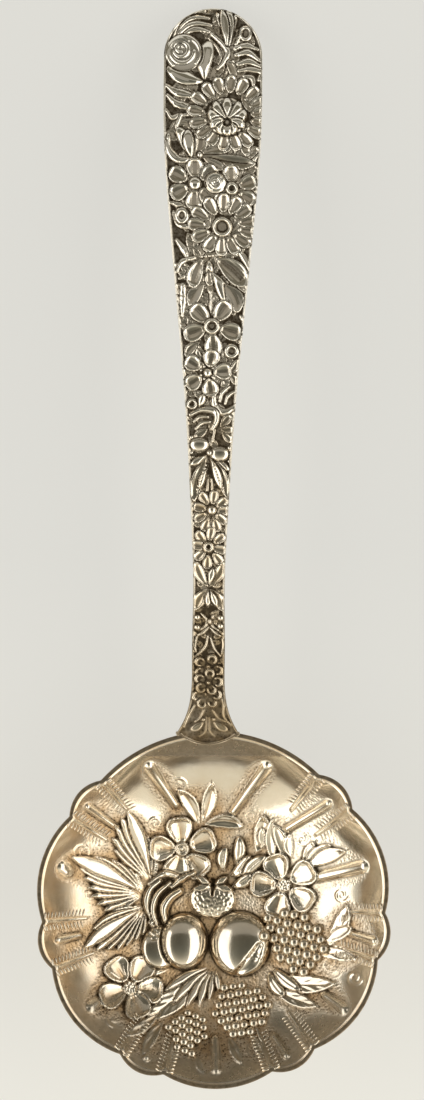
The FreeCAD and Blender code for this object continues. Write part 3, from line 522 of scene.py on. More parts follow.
HANDLE_BLADES = (
    # root, tip, width, top, hollow, fullness, bend, groove
    ((230, 48), (219, 14), 10, 0.6, 0.25, 0.6, 3, 0),
    ((232, 48), (238, 16), 10, 0.6, 0.25, 0.6, -3, 0),
    ((231, 49), (231, 11), 11, 0.65, -0.2, 0.5, 0, 0),
    ((229, 49), (224, 11), 9, 0.65, -0.2, 0.5, 1, 0),
    ((207, 82), (212, 43), 17, 0.3, -0.36, 0.5, -3, 0),
    ((206, 84), (169, 70), 15, 0.3, -0.3, 0.5, -3, 0),
    ((225, 82), (236, 62), 10, 0.55, 0.3, 0.6, 2, 0),
    ((236, 84), (230, 62), 9, 0.5, 0.2, 0.6, 2, 0),
    ((196, 161), (203, 134), 14, 0.6, 0.35, 0.5, 3, 0),
    ((193, 160), (180, 130), 13, 0.6, -0.25, 0.5, 2, 0.1),
    ((194, 160), (190, 132), 12, 0.65, -0.25, 0.5, -1, 0.1),
    ((204, 156), (234, 150), 12, 0.6, 0.3, 0.6, -2, 0),
    ((204, 158), (258, 166), 15, 0.6, 0.3, 0.7, 2, 0.25),
    ((205, 160), (228, 172), 9, 0.55, 0.2, 0.6, 0, 0),
    ((244, 140), (250, 158), 10, 0.6, 0.3, 0.5, 0, 0),
    ((211, 262), (211.5, 278), 8, 0.7, -0.15, 0.5, 0, 0),
    ((210, 272), (212, 288), 9, 0.6, 0.3, 0.5, 0, 0),
    ((207, 284), (191, 308), 14, 0.5, 0.15, 0.6, 2, 0.1),
    ((214, 274), (227, 304), 12, 0.6, -0.2, 0.6, -2, 0),
    ((226, 286), (240, 314), 18, 0.5, 0.15, 0.6, -3, 0.1),
    ((204, 261), (194, 290), 16, 0.7, 0.4, 0.5, 2, 0),
    ((218, 260), (248, 287), 22, 0.7, 0.45, 0.5, -2, 0),
    ((202, 344), (187, 358), 10, 0.55, 0.3, 0.7, 2, 0),
    ((231, 377), (242, 361), 9, 0.5, 0.25, 0.6, 0, 0),
    ((231, 374), (240, 386), 8, 0.5, 0.25, 0.6, 0, 0),
    ((201, 409), (206, 395), 8, 0.6, -0.2, 0.6, 0, 0),
    ((222, 428), (233, 416), 9, 0.55, 0.25, 0.6, 0, 0),
    ((223, 431), (235, 430), 8, 0.55, 0.25, 0.6, 0, 0),
    ((224, 433), (234, 443), 8, 0.55, 0.25, 0.6, 0, 0),
    ((210, 430), (197, 438), 8, 0.5, 0.2, 0.6, 0, 0),
    ((210, 456), (192.7, 466), 8, 0.55, -0.15, 0.7, 0, 0),
    ((214, 459), (232, 471), 8, 0.55, -0.15, 0.7, 0, 0),
    ((214, 458), (229.5, 499), 12, 0.6, 0.25, 0.8, -3, 0),
    ((210, 456), (196.5, 503), 13, 0.6, 0.25, 0.8, 3, 0),
    ((210, 468), (202, 490), 7, 0.6, -0.2, 0.7, 1, 0),
    ((212, 457), (223.5, 490), 9, 0.65, -0.25, 0.7, -1, 0),
    ((211.7, 587), (198.2, 561), 12, 0.65, 0.35, 0.75, -2, 0),
    ((211.7, 587), (227.2, 561), 12, 0.65, 0.35, 0.75, 2, 0),
    ((211.7, 586), (216.2, 567), 7, 0.65, -0.1, 0.8, 0, 0),
    ((210.7, 588), (203.6, 607), 6, 0.6, -0.1, 0.8, 0, 0),
    ((210.7, 588), (197.6, 610), 12, 0.65, 0.35, 0.75, 2, 0),
    ((212.5, 588), (226.8, 611), 12, 0.65, 0.35, 0.75, -2, 0),
    ((211.5, 588), (211, 607), 7, 0.65, -0.15, 0.8, 0, 0),
    ((212.8, 588), (220.4, 607), 7, 0.65, -0.15, 0.8, 0, 0),
    ((206, 720), (193, 729), 8, 0.3, -0.1, 0.5, -1, 0.1),
    ((215.5, 720), (230, 729), 8, 0.3, -0.1, 0.5, 1, 0.1),
)
HANDLE_FLOWERS = (
    # centre, petals' middles, their length and width, kind of centre, its radius
    ((229, 119), ((211.5, 93), (221.5, 88), (233, 86), (244, 88.5), (254, 96), (260, 105), (262, 115),
                  (261.5, 125), (257, 134), (247.5, 141.5), (237, 144), (226, 144), (215.5, 140),
                  (206.5, 134), (201, 125), (198.5, 113.5), (202, 101.5)), 18, 11.5, "none", 0),
    ((197.2, 185.8), ((197.2, 170.5), (180.6, 177.6), (181.4, 194), (196.4, 202), (209.5, 198.5), (211, 176)),
     19, 16.5, "ball", 6.4),
    ((233.8, 190.6), ((233, 176), (249.5, 185), (225, 199), (249, 200), (238, 205)), 17, 15, "ring", 4.5),
    ((224, 229), ((202.6, 216.5), (199, 227), (203, 237.5), (212.5, 245.5), (223.4, 248.6),
                  (234.6, 247.5), (244, 242), (249.5, 233.5), (249.5, 223.5), (244.6, 214),
                  (236.6, 207.6), (225.6, 205), (213, 208.6)), 19, 12.5, "ring", 8.0),
    ((213.5, 328), ((202, 315.7), (223.7, 313), (232, 333), (215, 346.3), (196.3, 334.2)), 22, 17,
     "ring", 6.0),
    ((209.6, 374.4), ((195, 365.4), (213, 360), (224.3, 373), (195.6, 383.3), (212.2, 389)), 17, 16,
     "ball", 4.4),
    ((214.5, 510.5), ((206.6, 499), (216.3, 497.8), (224.2, 503.3), (226, 511), (223.6, 519), (218.8, 525.3),
                      (208.5, 525), (203, 517.2), (202.4, 508)), 13.5, 9.4, "ball", 4.8),
    ((211.2, 547), ((203.6, 537.2), (213.5, 534), (221.8, 539), (222.4, 549.3), (220.6, 558.4),
                    (210.3, 562), (203, 554.7), (202, 545.7)), 13.5, 9.6, "ring", 3.6),
    ((211.2, 665.8), ((202.7, 661.2), (214.9, 658.7), (220.6, 669.4), (202.7, 671.4)), 12, 11.5, "ball", 2.2),
    ((208.2, 692.3), ((199.4, 694.9), (204.2, 702), (214.4, 701), (219, 693.4)), 11.5, 11, "ball", 2.2),
    ((210.8, 681.6), ((212.3, 672.8), (202.4, 678), (203.4, 686.7), (213.9, 688.3), (220.3, 680.6)), 12, 11.5,
     "ball", 2.4),
)
HANDLE_BALLS = (
    # centre, radius, height, stretch
    ((202, 157), 3, 0.7, 1), ((201.6, 445.7), 9.6, 0.95, 0.74), ((221.8, 454.8), 9.6, 0.95, 0.78),
    ((211.6, 453.6), 3, 0.7, 1), ((200.8, 616.8), 3.2, 0.75, 1), ((200.4, 626.7), 3.2, 0.75, 1),
    ((223.4, 617.4), 3.2, 0.75, 1), ((223.3, 625.4), 3.2, 0.75, 1), ((213, 620.8), 2.4, 0.8, 1.4),
    ((205.8, 718.4), 1.9, 0.5, 1), ((216, 718), 1.9, 0.5, 1),
)
for points, widths, top in HANDLE_LINES:
    ridge(handle_map, points, widths, top, moat=0.7)
for root, tip, width, top, hollow, full, bend, groove in HANDLE_BLADES:
    hollow = hollow * (1.5 if hollow > 0 else 2)
    blade(handle_map, root, tip, width, top, hollow, full, 0.6, bend, 1.1, groove, lines=0.02)
ROSE_TURNS = (
    # centre, radius, first and last angle and width of each turned-over petal of the rose
    ((186, 55), 16.5, 130, 400, 5), ((184.5, 53), 12, 0, 300, 4.6),
    ((183, 51.5), 7.6, 200, 520, 4), ((182.5, 51), 3.4, 60, 330, 3.2),
)
dome(handle_map, (186, 55), 19, 0.5, square=0.3)
for spot, reach, start, stop, wide in ROSE_TURNS:
    ridge(handle_map, circle(spot, reach, 1, start, stop, 14), (wide * 0.6, wide, wide * 0.6), 0.32)
ring(handle_map, (247.5, 35), 5.2, 3.4, 0.5, 1.2)
ridge(handle_map, ((238, 46), (241, 40), (243.5, 33)), (3, 4, 3), 0.5)
ring(handle_map, (233.2, 352.7), 5.4, 4.2, 0.6)
ring(handle_map, (194, 405.4), 4, 3.4, 0.55)
ring(handle_map, (184, 218), 5, 4.6, 0.5, 1.2)
OPEN_PETALS = 3  # a centre smaller than this belongs to a blossom whose petals are open rims
for centre, middles, long, width, kind, radius in HANDLE_FLOWERS:
    petals(handle_map, np.array(centre), middles, long * 1.04, width * 1.06, 0.74, 0.62, full=0.42,
           soft=1.1, moat=0.85, lines=0.015)
    if kind == "ball":
        for middle in middles if radius < OPEN_PETALS else ():
            out = np.degrees(np.arctan2(middle[1] - centre[1], middle[0] - centre[0]))
            dome(handle_map, middle, 5.6, 0.12, moat=0.9, square=0.1)
            ridge(handle_map, circle(middle, 3.9, 1, out - 120, out + 120, 9), (2.4, 4.4, 2.4), 0.62)
        dome(handle_map, centre, radius, 1.0)
    elif kind == "ring":
        ring(handle_map, centre, radius, 4.4, 0.8)
for centre, radius, top, stretch in HANDLE_BALLS:
    dome(handle_map, centre, radius, top, stretch)
DAISY_FOLDS = (
    # the outer end and the bend of each folded petal that meets in the big daisy's hole
    ((229.5, 100), 0), ((217, 104), 2), ((242, 104), -2), ((211, 113), 3), ((248, 113), -3),
    ((212, 128), -2), ((247, 128), 2), ((221, 136), -1), ((237, 136), 1), ((229, 138), 0),
)
DAISY_HOLE = (229.4, 124.6)
dome(handle_map, (229, 119), 19.6, 1.0, square=0.6)
for end, bend in DAISY_FOLDS:
    blade(handle_map, end, DAISY_HOLE, 10.5, 1.15, -0.4, 0.5, 0.4, bend, 0.9, moat=0.45, lift=0.8)
dome(handle_map, DAISY_HOLE, 3.8, 0.15, moat=0.6)
ROSEBUD = (217.6, 185)
dome(handle_map, ROSEBUD, 11, 0.85)
for reach, start in ((8.4, 120), (5, 300), (2.4, 90)):
    ridge(handle_map, circle(ROSEBUD, reach, 1, start, start + 220, 7), (2, 3.2, 2), 0.26)
handle_cavity = blurred(handle_map.h, 4) - handle_map.h
print("handle relief", handle_map.h.shape, round(float(handle_map.h.max()), 2), "mm high")

# %% [markdown]
# ## One closed skin
# The bowl and the handle are each one piece of metal, so each is one closed mesh: loops of
# points, from the middle of the front, over the edge and to the back. Two neighbouring loops
# may have different numbers of points, so the triangles stay even everywhere, where a grid
# would crowd them at the middle of the bowl.


# %% Sew loops into a closed mesh
def sewn(loops, period):
    """Vertices and triangles through loops of (points, place of each point in the period)."""
    starts = np.cumsum([0] + [len(places) for _, places in loops])
    faces = []
    for k in range(len(loops) - 1):
        places_a, places_b = loops[k][1], loops[k + 1][1]
        count_a, count_b = len(places_a), len(places_b)
        i = j = 0
        while i < count_a or j < count_b:
            next_a = places_a[i + 1] if i + 1 < count_a else period
            next_b = places_b[j + 1] if j + 1 < count_b else period
            a, b = starts[k] + i % count_a, starts[k + 1] + j % count_b
            if j >= count_b or (i < count_a and next_a <= next_b):
                if count_a > 1:
                    faces.append((a, starts[k] + (i + 1) % count_a, b))
                i += 1
            else:
                if count_b > 1:
                    faces.append((a, starts[k + 1] + (j + 1) % count_b, b))
                j += 1
    return np.vstack([points for points, _ in loops]), faces


def placed(name, data):
    """A new object of the scene, at the origin."""
    made = bpy.data.objects.new(name, data)
    bpy.context.collection.objects.link(made)
    return made


def faced_out(mesh):
    """Turns the faces of a closed mesh outwards and smooths it. Counts its open edges."""
    shell = bmesh.new()
    shell.from_mesh(mesh)
    bmesh.ops.recalc_face_normals(shell, faces=shell.faces)
    open_edges = sum(not edge.is_manifold for edge in shell.edges)
    shell.to_mesh(mesh)
    shell.free()
    mesh.shade_smooth()
    return open_edges


def set_mark(mesh, mark, values, kind="FLOAT", field="value"):
    """Stores one value for each point of a mesh."""
    layer = mesh.attributes.new(mark, kind, "POINT")
    layer.data.foreach_set(field, np.asarray(values, np.float32).ravel())


def piece_from(name, points, faces, material, marks):
    """A smooth closed object at the origin, its faces outwards, with marks for its material."""
    mesh = bpy.data.meshes.new(name)
    mesh.from_pydata((np.asarray(points) * MM).tolist(), [], [tuple(map(int, f)) for f in faces])
    open_edges = faced_out(mesh)
    for mark, values in marks.items():
        set_mark(mesh, mark, values)
    mesh.materials.append(material)
    print(name, len(mesh.polygons), "triangles,", open_edges, "open edges")
    return placed(name, mesh)


# %% [markdown]
# ## Antique silver
# The whole spoon is silver, and what makes it look old is where the polish did not reach.
# High places are bright and cream, the sunk ground is nearly black with sulphide, and round
# the fruit lies a golden tan film. The relief map knows which places lie deep, so the mesh
# carries three marks that the material reads: film, grime and matting, which is the ground
# of small punched dots, with dirt in them. The three marks also carry painted shade, and on
# the bowl's upper right painted light. Noise breaks up their edges, so no mark reads as drawn.


# %% The silver finish
def wire(tree, node, sockets):
    """Gives each named socket of a node its value, or a link from another socket."""
    for key, value in sockets.items():
        if isinstance(value, bpy.types.NodeSocket):
            tree.links.new(value, node.inputs[key])
        else:
            node.inputs[key].default_value = value
    return node


def add(tree, kind, sockets=None, **settings):
    """A new node of a tree, with its settings and its sockets."""
    node = tree.nodes.new(kind)
    for key, value in settings.items():
        setattr(node, key, value)
    return wire(tree, node, sockets or {})


def silver(name, bright, film_and_shade_colour, grime_and_shade_colour, polish):
    """Silver that reads the marks film, grime and matting, which also carry painted shade and painted light.
    """
    material = bpy.data.materials.new(name)
    material.use_nodes = True
    tree = material.node_tree
    place = add(tree, "ShaderNodeTexCoord").outputs["Object"]

    def mark(called):
        return add(tree, "ShaderNodeAttribute", attribute_name=called).outputs["Fac"]

    def maths(operation, a, b, clamp=False):
        return add(tree, "ShaderNodeMath", {0: a, 1: b}, operation=operation, use_clamp=clamp).outputs[0]

    def noise(scale, detail, stretch=None):
        source = place
        if stretch:
            source = add(tree, "ShaderNodeMapping", {"Vector": place, "Scale": stretch}).outputs["Vector"]
        sockets = {"Vector": source, "Scale": scale, "Detail": detail}
        return add(tree, "ShaderNodeTexNoise", sockets).outputs["Fac"]

    def mixed(factor, a, b):
        return add(tree, "ShaderNodeMix", {0: factor, 6: a, 7: b}, data_type="RGBA").outputs[2]

    cloud = maths("ADD", maths("MULTIPLY", noise(260, 5), 1.5), -0.25, True)
    # The film mark lays tarnish and also painted shade; where it is thinner, it paints light.
    film_and_shade = maths("MULTIPLY", mark("film_and_shade"), maths("ADD", cloud, 0.45), True)
    # The grime mark darkens real grime in the hollows, and also painted shade.
    grime_and_shade = maths("MULTIPLY", mark("grime_and_shade"), maths("ADD", noise(900, 3), 0.55), True)
    # The matting mark lays the punched ground and its dirt, and also some painted shade and painted light.
    matting_and_shade = mark("matting_and_shade")
    dots = add(tree, "ShaderNodeTexVoronoi", {"Vector": place, "Scale": 1750}).outputs["Distance"]
    dirt = maths("MULTIPLY", maths("SUBTRACT", 0.42, dots), 2.6, True)
    grime_and_shade = maths("ADD", grime_and_shade, maths("MULTIPLY", maths("MULTIPLY", dirt, matting_and_shade), 0.85), True)
    rough = maths("ADD", maths("MULTIPLY", film_and_shade, 0.18), maths("MULTIPLY", grime_and_shade, 0.32))
    rough = maths("ADD", rough, maths("MULTIPLY", matting_and_shade, 0.24))
    rough = maths("ADD", rough, maths("MULTIPLY", noise(1500, 2, (1, 0.08, 1)), 0.1))
    punched = maths("MULTIPLY", maths("MULTIPLY", dots, matting_and_shade), 1.5)
    scratches = maths("MULTIPLY", noise(5000, 2, (1, 0.05, 1)), 0.05)
    hammered = maths("MULTIPLY", noise(170, 2), 0.28)
    height = maths("ADD", maths("ADD", punched, scratches), hammered)
    bump = add(tree, "ShaderNodeBump", {"Strength": 0.6, "Distance": 0.0002, "Height": height})
    wire(tree, tree.nodes["Principled BSDF"], {
        "Base Color": mixed(grime_and_shade, mixed(film_and_shade, (*bright, 1), (*film_and_shade_colour, 1)), (*grime_and_shade_colour, 1)),
        "Metallic": 1.0,
        "Roughness": maths("ADD", rough, polish - 0.04, True),
        "Normal": bump.outputs["Normal"],
    })
    print("finish", name, len(tree.nodes), "nodes")
    return material


# The bowl and the handle are one silver: the handle's copy is painted lighter, a painted highlight for the
# struck face, and the bowl's copy darker, as painted shade.
bowl_silver = silver("bowl_silver", (0.87, 0.82, 0.71), (0.65, 0.46, 0.27), (0.1, 0.07, 0.037), 0.08)
handle_silver = silver("handle_silver", (0.96, 0.91, 0.81), (0.5, 0.38, 0.23), (0.075, 0.056, 0.034), 0.1)
joint_silver = silver("joint_silver", (0.52, 0.44, 0.33), (0.6, 0.45, 0.3), (0.12, 0.09, 0.06), 0.3)

# %% [markdown]
# ## The bowl
# The bowl is a dish of one radius, and towards the rim its wall swings in at each notch
# between two lobes, which shows inside as a raised crease. The front is lifted by the relief
# map. The back follows the same relief, softened, because the sheet was pushed up from there
# and the hollows still show. The rim is a flat land with a small bright arris on each side.

# %% Shape the bowl
INNER_R = DISH_R - WALL
RIM_INNER = sqrt(INNER_R ** 2 - (DISH_R - DEPTH) ** 2)
NOTCH = 1.5
FLUTE_RUN = 8
FLUTE_FOOT = DISH_R - sqrt(DISH_R ** 2 - (RIM_R - FLUTE_RUN) ** 2)
FINE, COARSE, BACK = 0.24, 0.31, 0.75  # spacing of the points
FINE_ARC = 33.5  # how far from the middle the fine spacing goes
RIM_SIDES = 760


def sag(angle):
    """0 in the middle of a lobe and 1 in the notches, for angles in radians."""
    turned = (np.degrees(angle) - FIRST_NOTCH) % 360
    lobe = np.clip(np.searchsorted(LOBE_EDGES, turned, "right") - 1, 0, len(LOBES) - 1)
    return (2 * (turned - LOBE_EDGES[lobe]) / np.array(LOBES)[lobe] - 1) ** 2


def wall_point(reach, angle, ball, foot):
    """A point of the wall: its plan radius before the notches, on a ball of that radius."""
    z = DISH_R - np.sqrt(ball ** 2 - reach ** 2)
    share = np.clip((z - foot) / (DEPTH - foot), 0, 1)
    r = reach - NOTCH * share ** 2 * sag(angle)
    return np.stack([r * np.cos(angle), BOWL_Y + r * np.sin(angle), z + 0 * r], -1)


def inner_point(reach, angle):
    """The bowl's inside with its relief."""
    points = wall_point(reach, angle, INNER_R, FLUTE_FOOT + WALL)
    lift = bowl_map.sample(bowl_map.h, *to_px(points[..., 0], points[..., 1]))
    points[..., 2] += lift * ramp((RIM_INNER - reach) / 1.2)
    return points


def round_angles(count):
    """Angles of a loop of points, at least six."""
    count = max(int(count), 6)
    return np.arange(count) / count * 2 * pi


soft_bowl = blurred(bowl_map.h, 3)
bowl_loops = [(inner_point(np.zeros(1), np.zeros(1)), [0.0])]
arc = 0.0
while arc < np.arcsin(RIM_INNER / INNER_R) * INNER_R - 0.5:
    arc += FINE if arc < FINE_ARC else COARSE
    reach = INNER_R * sin(arc / INNER_R)
    angle = round_angles(2 * pi * reach / (FINE if arc < FINE_ARC else COARSE))
    bowl_loops.append((inner_point(reach + 0 * angle, angle), angle))
front_loops = len(bowl_loops)
RIM_LOOPS = (
    # plan radius, height: the inner arris, the flat land and the outer arris
    (RIM_INNER + 0.02, -0.2), (RIM_INNER + 0.1, -0.1), (RIM_INNER + 0.19, -0.04),
    (RIM_INNER + 0.27, -0.01), (RIM_INNER + 0.34, 0),
    (RIM_R - 0.35, 0), (RIM_R - 0.14, 0), (RIM_R - 0.04, -0.04), (RIM_R, -0.14), (RIM_R - 0.04, -0.3),
)
for reach, drop in RIM_LOOPS:
    angle = round_angles(RIM_SIDES)
    r = reach - NOTCH * sag(angle)
    points = np.stack([r * np.cos(angle), BOWL_Y + r * np.sin(angle), np.full(RIM_SIDES, DEPTH + drop)], -1)
    bowl_loops.append((points, angle))
arc = DISH_R * np.arcsin(RIM_R / DISH_R) - 0.7
while arc > 0.4:
    reach = DISH_R * sin(arc / DISH_R)
    angle = round_angles(2 * pi * reach / BACK)
    points = wall_point(reach + 0 * angle, angle, DISH_R, FLUTE_FOOT)
    px, py = to_px(points[:, 0], points[:, 1])
    near = ramp((34 - reach) / 3)
    lift = bowl_map.sample(soft_bowl, px, py)
    points[:, 2] += np.clip(lift - 0.12, 0, None) * 0.9 * near * ramp((reach - 3) / 2)
    points[:, 2] *= ramp((reach - 2.4) / 2.2)
    bowl_loops.append((points, angle))
    arc -= BACK
bowl_loops.append((np.array([[0, BOWL_Y, 0.0]]), [0.0]))
bowl_points, bowl_faces = sewn(bowl_loops, 2 * pi)
front_count = sum(len(places) for _, places in bowl_loops[:front_loops])

# %% [markdown]
# ## Where the polish did not reach, and painted shade
# A cloth polishes what stands out and skips what lies deep. A place lies deep where the
# relief is lower than its own blurred surroundings, so that difference is the grime. The
# film lies wherever the ornament is dense, and the matting lies on the ground round it.
# Painted shade is added as well: on the rim land, in a band at the top of the bowl, over
# its lower wall and, as more film, on its left side. Less film and matting paint the upper
# right lighter.

# %% Mark the bowl
bowl_px, bowl_py = to_px(bowl_points[:, 0], bowl_points[:, 1])
order = np.arange(len(bowl_points)) - front_count
is_front = (order < 0).astype(float)
# Painted shadow: the flat rim land and its outer edge are darkened as though in shade.
painted_rim_shade = ((order >= 4 * RIM_SIDES) & (order < 8 * RIM_SIDES)) * 0.62


def read_map(grid):
    """The values of a grid of the bowl's map at the points of the mesh."""
    return bowl_map.sample(grid, bowl_px, bowl_py)


height = read_map(bowl_map.h)
busy = ramp(read_map(blurred((bowl_map.h > 0.2).astype(float), 22)) * 1.5)
far_out = np.hypot(bowl_px - BOWL_PX[0], bowl_py - BOWL_PX[1])
# Painted shade: a dark band along the top of the bowl's wall, under the handle.
painted_top_shade = 0.5 * ramp((756 - bowl_py) / 2.5) * ramp((far_out - 138) / 10)
# Painted shade over the lower wall of the bowl.
painted_foot_shade = 0.46 * ramp((bowl_py - 965) / 60) * ramp((far_out - 98) / 40)
# Painted shade: more film darkens the left side of the bowl.
painted_left_shade = ramp((150 - bowl_px) / 110)
# Painted light: less film and matting make the upper right of the bowl lighter.
painted_lit_side = ramp((bowl_px - 240) / 70) * ramp((930 - bowl_py) / 70)
ground = ramp((0.16 - height) / 0.1)
worn = ramp((height - 0.08) / 0.45)
grime_and_shade = ramp((read_map(blurred(bowl_map.h, 5) - bowl_map.h) - 0.05) / 0.4)
# The grime also takes the dark ground between the berries and the painted shade of the two bands.
for more in (read_map(between_berries), painted_top_shade, painted_foot_shade):
    grime_and_shade = np.maximum(grime_and_shade, more)
film_and_shade = np.clip(0.12 + (0.8 - 0.65 * painted_lit_side) * busy + 0.5 * painted_left_shade, 0, 1)
bowl_marks = {
    "grime_and_shade": np.where(is_front > 0, grime_and_shade, 0.1 + painted_rim_shade),
    "film_and_shade": np.where(is_front > 0, 0.1 + film_and_shade * (1 - 0.8 * worn), 0.6),
    "matting_and_shade": ground * ramp(busy * 2.6 - 0.2) * (1 - 0.6 * painted_lit_side) * is_front,
}
bowl = piece_from("bowl_sheet", bowl_points, bowl_faces, bowl_silver, bowl_marks)
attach(bowl, "root")
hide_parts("bowl")

# %% [markdown]
# ## The handle
# Seen from above the handle is a narrow neck that widens to a rounded end. Seen from the
# side it rises from the bowl, crests and comes down to the table at its tip. The loops run
# across it here, one after the other from the tongue on the bowl to the tip: over the struck
# face, down one edge, back along the plain back and up the other edge.

# %% Shape the handle
RUN = (
    # share of the run from the rim to the tip, height of the upper side
    (0, 20.9), (0.05, 22.32), (0.21, 26.58), (0.36, 28), (0.52, 26.18), (0.66, 21.24),
    (0.88, 10.58), (1, 2),
)
crown = spline([RIM_Y + REACH * share for share, _ in RUN], [z for _, z in RUN])
TONGUE_Y, TONGUE_R, TONGUE_TOP = -41.8, 9.48, -40.495
TIP_R = 10.5
WIDTHS = (
    # place along the handle, half its width
    (-39.6, 6.7), (-36.9, 5.19), (-34.45, 4.29), (-23.6, 3.49), (-8.2, 3.35), (7.2, 3.96),
    (28.14, 5.21), (48.8, 7.07), (68.8, 9.0), (87.3, 10.36), (TIP_Y - TIP_R, TIP_R),
)
TONGUE_HALF = 4.8
side_curve = spline(*zip(*WIDTHS))
LEAN = radians(-0.45)
GROUND = 0.6
BORDER = 0.24
FACE_STEP, BACK_STEP = 0.168, 1.6
FACE_ROUND, BACK_ROUND = 0.3, 0.8


def half_width(y):
    """Half the handle's width at a place along it."""
    if y < TONGUE_TOP:
        return sqrt(max(TONGUE_R ** 2 - (TONGUE_Y + TONGUE_R - y) ** 2, 0))
    shoulder_y, shoulder = WIDTHS[0]
    if y < shoulder_y:
        return TONGUE_HALF + (shoulder - TONGUE_HALF) * (y - TONGUE_TOP) / (shoulder_y - TONGUE_TOP)
    if y > TIP_Y - TIP_R:
        return sqrt(max(TIP_R ** 2 - (y - TIP_Y + TIP_R) ** 2, 0))
    return float(side_curve(y))


def inset(a, y, half):
    """Distance in from the handle's edge."""
    edge = half - np.abs(a)
    if y > TIP_Y - TIP_R:
        edge = TIP_R - np.hypot(a, y - TIP_Y + TIP_R)
    if y < TONGUE_TOP + 1:
        edge = np.minimum(edge, TONGUE_R - np.hypot(a, y - TONGUE_Y - TONGUE_R))
    return np.maximum(edge, 0)


def top_height(y):
    """The handle's crown, which bends down over the rim as a tongue."""
    if y >= RIM_Y:
        return float(crown(y))
    t = (RIM_Y - y) / (RIM_Y - TONGUE_Y)
    return 20.9 - 1.0 * t - 2.59 * t ** 2


def leaned(points):
    """The handle leans about its tip, as it does on the photograph."""
    x, y = points[:, 0].copy(), points[:, 1] - TIP_Y
    points[:, 0] = x * cos(LEAN) - y * sin(LEAN)
    points[:, 1] = TIP_Y + x * sin(LEAN) + y * cos(LEAN)
    return points


def read_handle(grid, a, y):
    """The values of a grid of the handle's map across the handle."""
    py = to_px(0, y)[1]
    return handle_map.sample(grid, axis_px(py) + a / PIXEL, py + 0 * a)


def face_relief(a, y, edge):
    """Height of the struck face over its sunk ground."""
    lift = read_handle(handle_map.h, a, y) * ramp((edge - 0.2) / 0.3)
    border = GROUND * np.clip(1 - ((edge - BORDER) / 0.2) ** 2, 0, 1)
    return np.maximum(lift, np.where(edge < BORDER, GROUND, border))


def rounding(edge, radius):
    """How far a rounded edge drops, at a distance in from the side."""
    return radius - radius * np.sqrt(1 - (1 - np.minimum(edge / radius, 1)) ** 2)


def face_marks(a, y, edge, relief):
    """Grime and film of the face: dark in the recesses and on its border towards the neck, with painted shade
    and more film round the neck.
    """
    py = to_px(0, y)[1]
    # Painted shade round the neck, where the handle slopes down to the bowl.
    neck_shade = ramp((py - 590) / 90)
    cavity = ramp((read_handle(handle_cavity, a, y) - 0.02) / 0.15)
    low = ramp((0.5 - relief) / 0.35)
    grime_and_shade = np.clip(0.9 * cavity + 0.8 * ramp((0.14 - relief) / 0.14), 0, 0.95)
    # The low places round the neck get painted shade, a little less at the very end.
    grime_and_shade = np.clip(grime_and_shade + 0.55 * neck_shade * low, 0, 0.95) * (1 - 0.25 * ramp((py - 675) / 35))
    grime_and_shade = np.maximum(grime_and_shade, 0.6 * ramp((0.34 - edge) / 0.1) * ramp((py - 520) / 120))
    # The film grows from the middle of the handle down, and grows more round the neck as painted shade.
    film_and_shade = np.clip(0.05 + 0.42 * low + 0.3 * ramp((py - 360) / 120) + 0.45 * neck_shade, 0, 1)
    return np.stack([grime_and_shade, film_and_shade], -1)


def across(y):
    """One loop of the handle, its places in a period of four, and its marks."""
    half = half_width(y)
    count = max(int(ceil(2 * half / FACE_STEP)), 4)
    a = np.linspace(-half, half, count)
    edge = inset(a, y, half)
    relief = face_relief(a, y, edge)
    top = top_height(y) - GROUND + relief - rounding(edge, FACE_ROUND)
    back_count = max(int(ceil(2 * half / BACK_STEP)), 4)
    b = np.linspace(half, -half, back_count)
    thick = 3 - (y - RIM_Y) / REACH if y > RIM_Y else 3.0
    below = (float(crown(y)) if y > RIM_Y else 20.9 + (y - RIM_Y) * 0.5) - thick
    bottom = below + rounding(inset(b, y, half), BACK_ROUND)
    reach = np.hypot(b, y - BOWL_Y)
    middle = DISH_R - np.sqrt((DISH_R - WALL / 2) ** 2 - np.minimum(reach, 37.4) ** 2)
    bottom = np.where(reach < 37.5, np.maximum(bottom, np.minimum(middle, 18.8)), bottom)
    bottom = np.minimum(bottom, np.interp(b, a, top) - 0.3)
    points = [np.stack([a, np.full(count, y), top], -1)]
    points.append([[half, y, (top[-1] * 2 + bottom[0]) / 3], [half, y, (top[-1] + bottom[0] * 2) / 3]])
    points.append(np.stack([b, np.full(back_count, y), bottom], -1))
    points.append([[-half, y, (top[0] + bottom[-1] * 2) / 3], [-half, y, (top[0] * 2 + bottom[-1]) / 3]])
    places = np.concatenate([np.arange(count) / (count - 1), [4 / 3, 5 / 3],
                             2 + np.arange(back_count) / (back_count - 1), [10 / 3, 11 / 3]])
    marks = np.tile([0, 0.15], (len(places), 1))
    marks[:count] = face_marks(a, y, edge, relief)
    return np.vstack(points), places, marks


def capped(loops):
    """The loops with a point at either end that closes them."""
    first, last = loops[0][0].mean(0)[None], loops[-1][0].mean(0)[None]
    return [(first, [0.0]), *loops, (last, [0.0])]


rows = [TONGUE_Y + TONGUE_R * (1 - cos(t)) for t in np.linspace(0.03, np.arcsin(TONGUE_HALF / TONGUE_R), 22)]
rows += list(np.arange(rows[-1] + 0.12, TIP_Y - TIP_R, FACE_STEP))
rows += [TIP_Y - TIP_R + TIP_R * sin(t) for t in np.linspace(0.004, pi / 2 - 0.012, 86)]
made = [across(y) for y in rows]
handle_points, handle_faces = sewn(capped([(points, places) for points, places, _ in made]), 4)
handle_points = leaned(handle_points)
read = np.vstack([np.zeros((1, 2)), *[marks for _, _, marks in made], np.zeros((1, 2))])
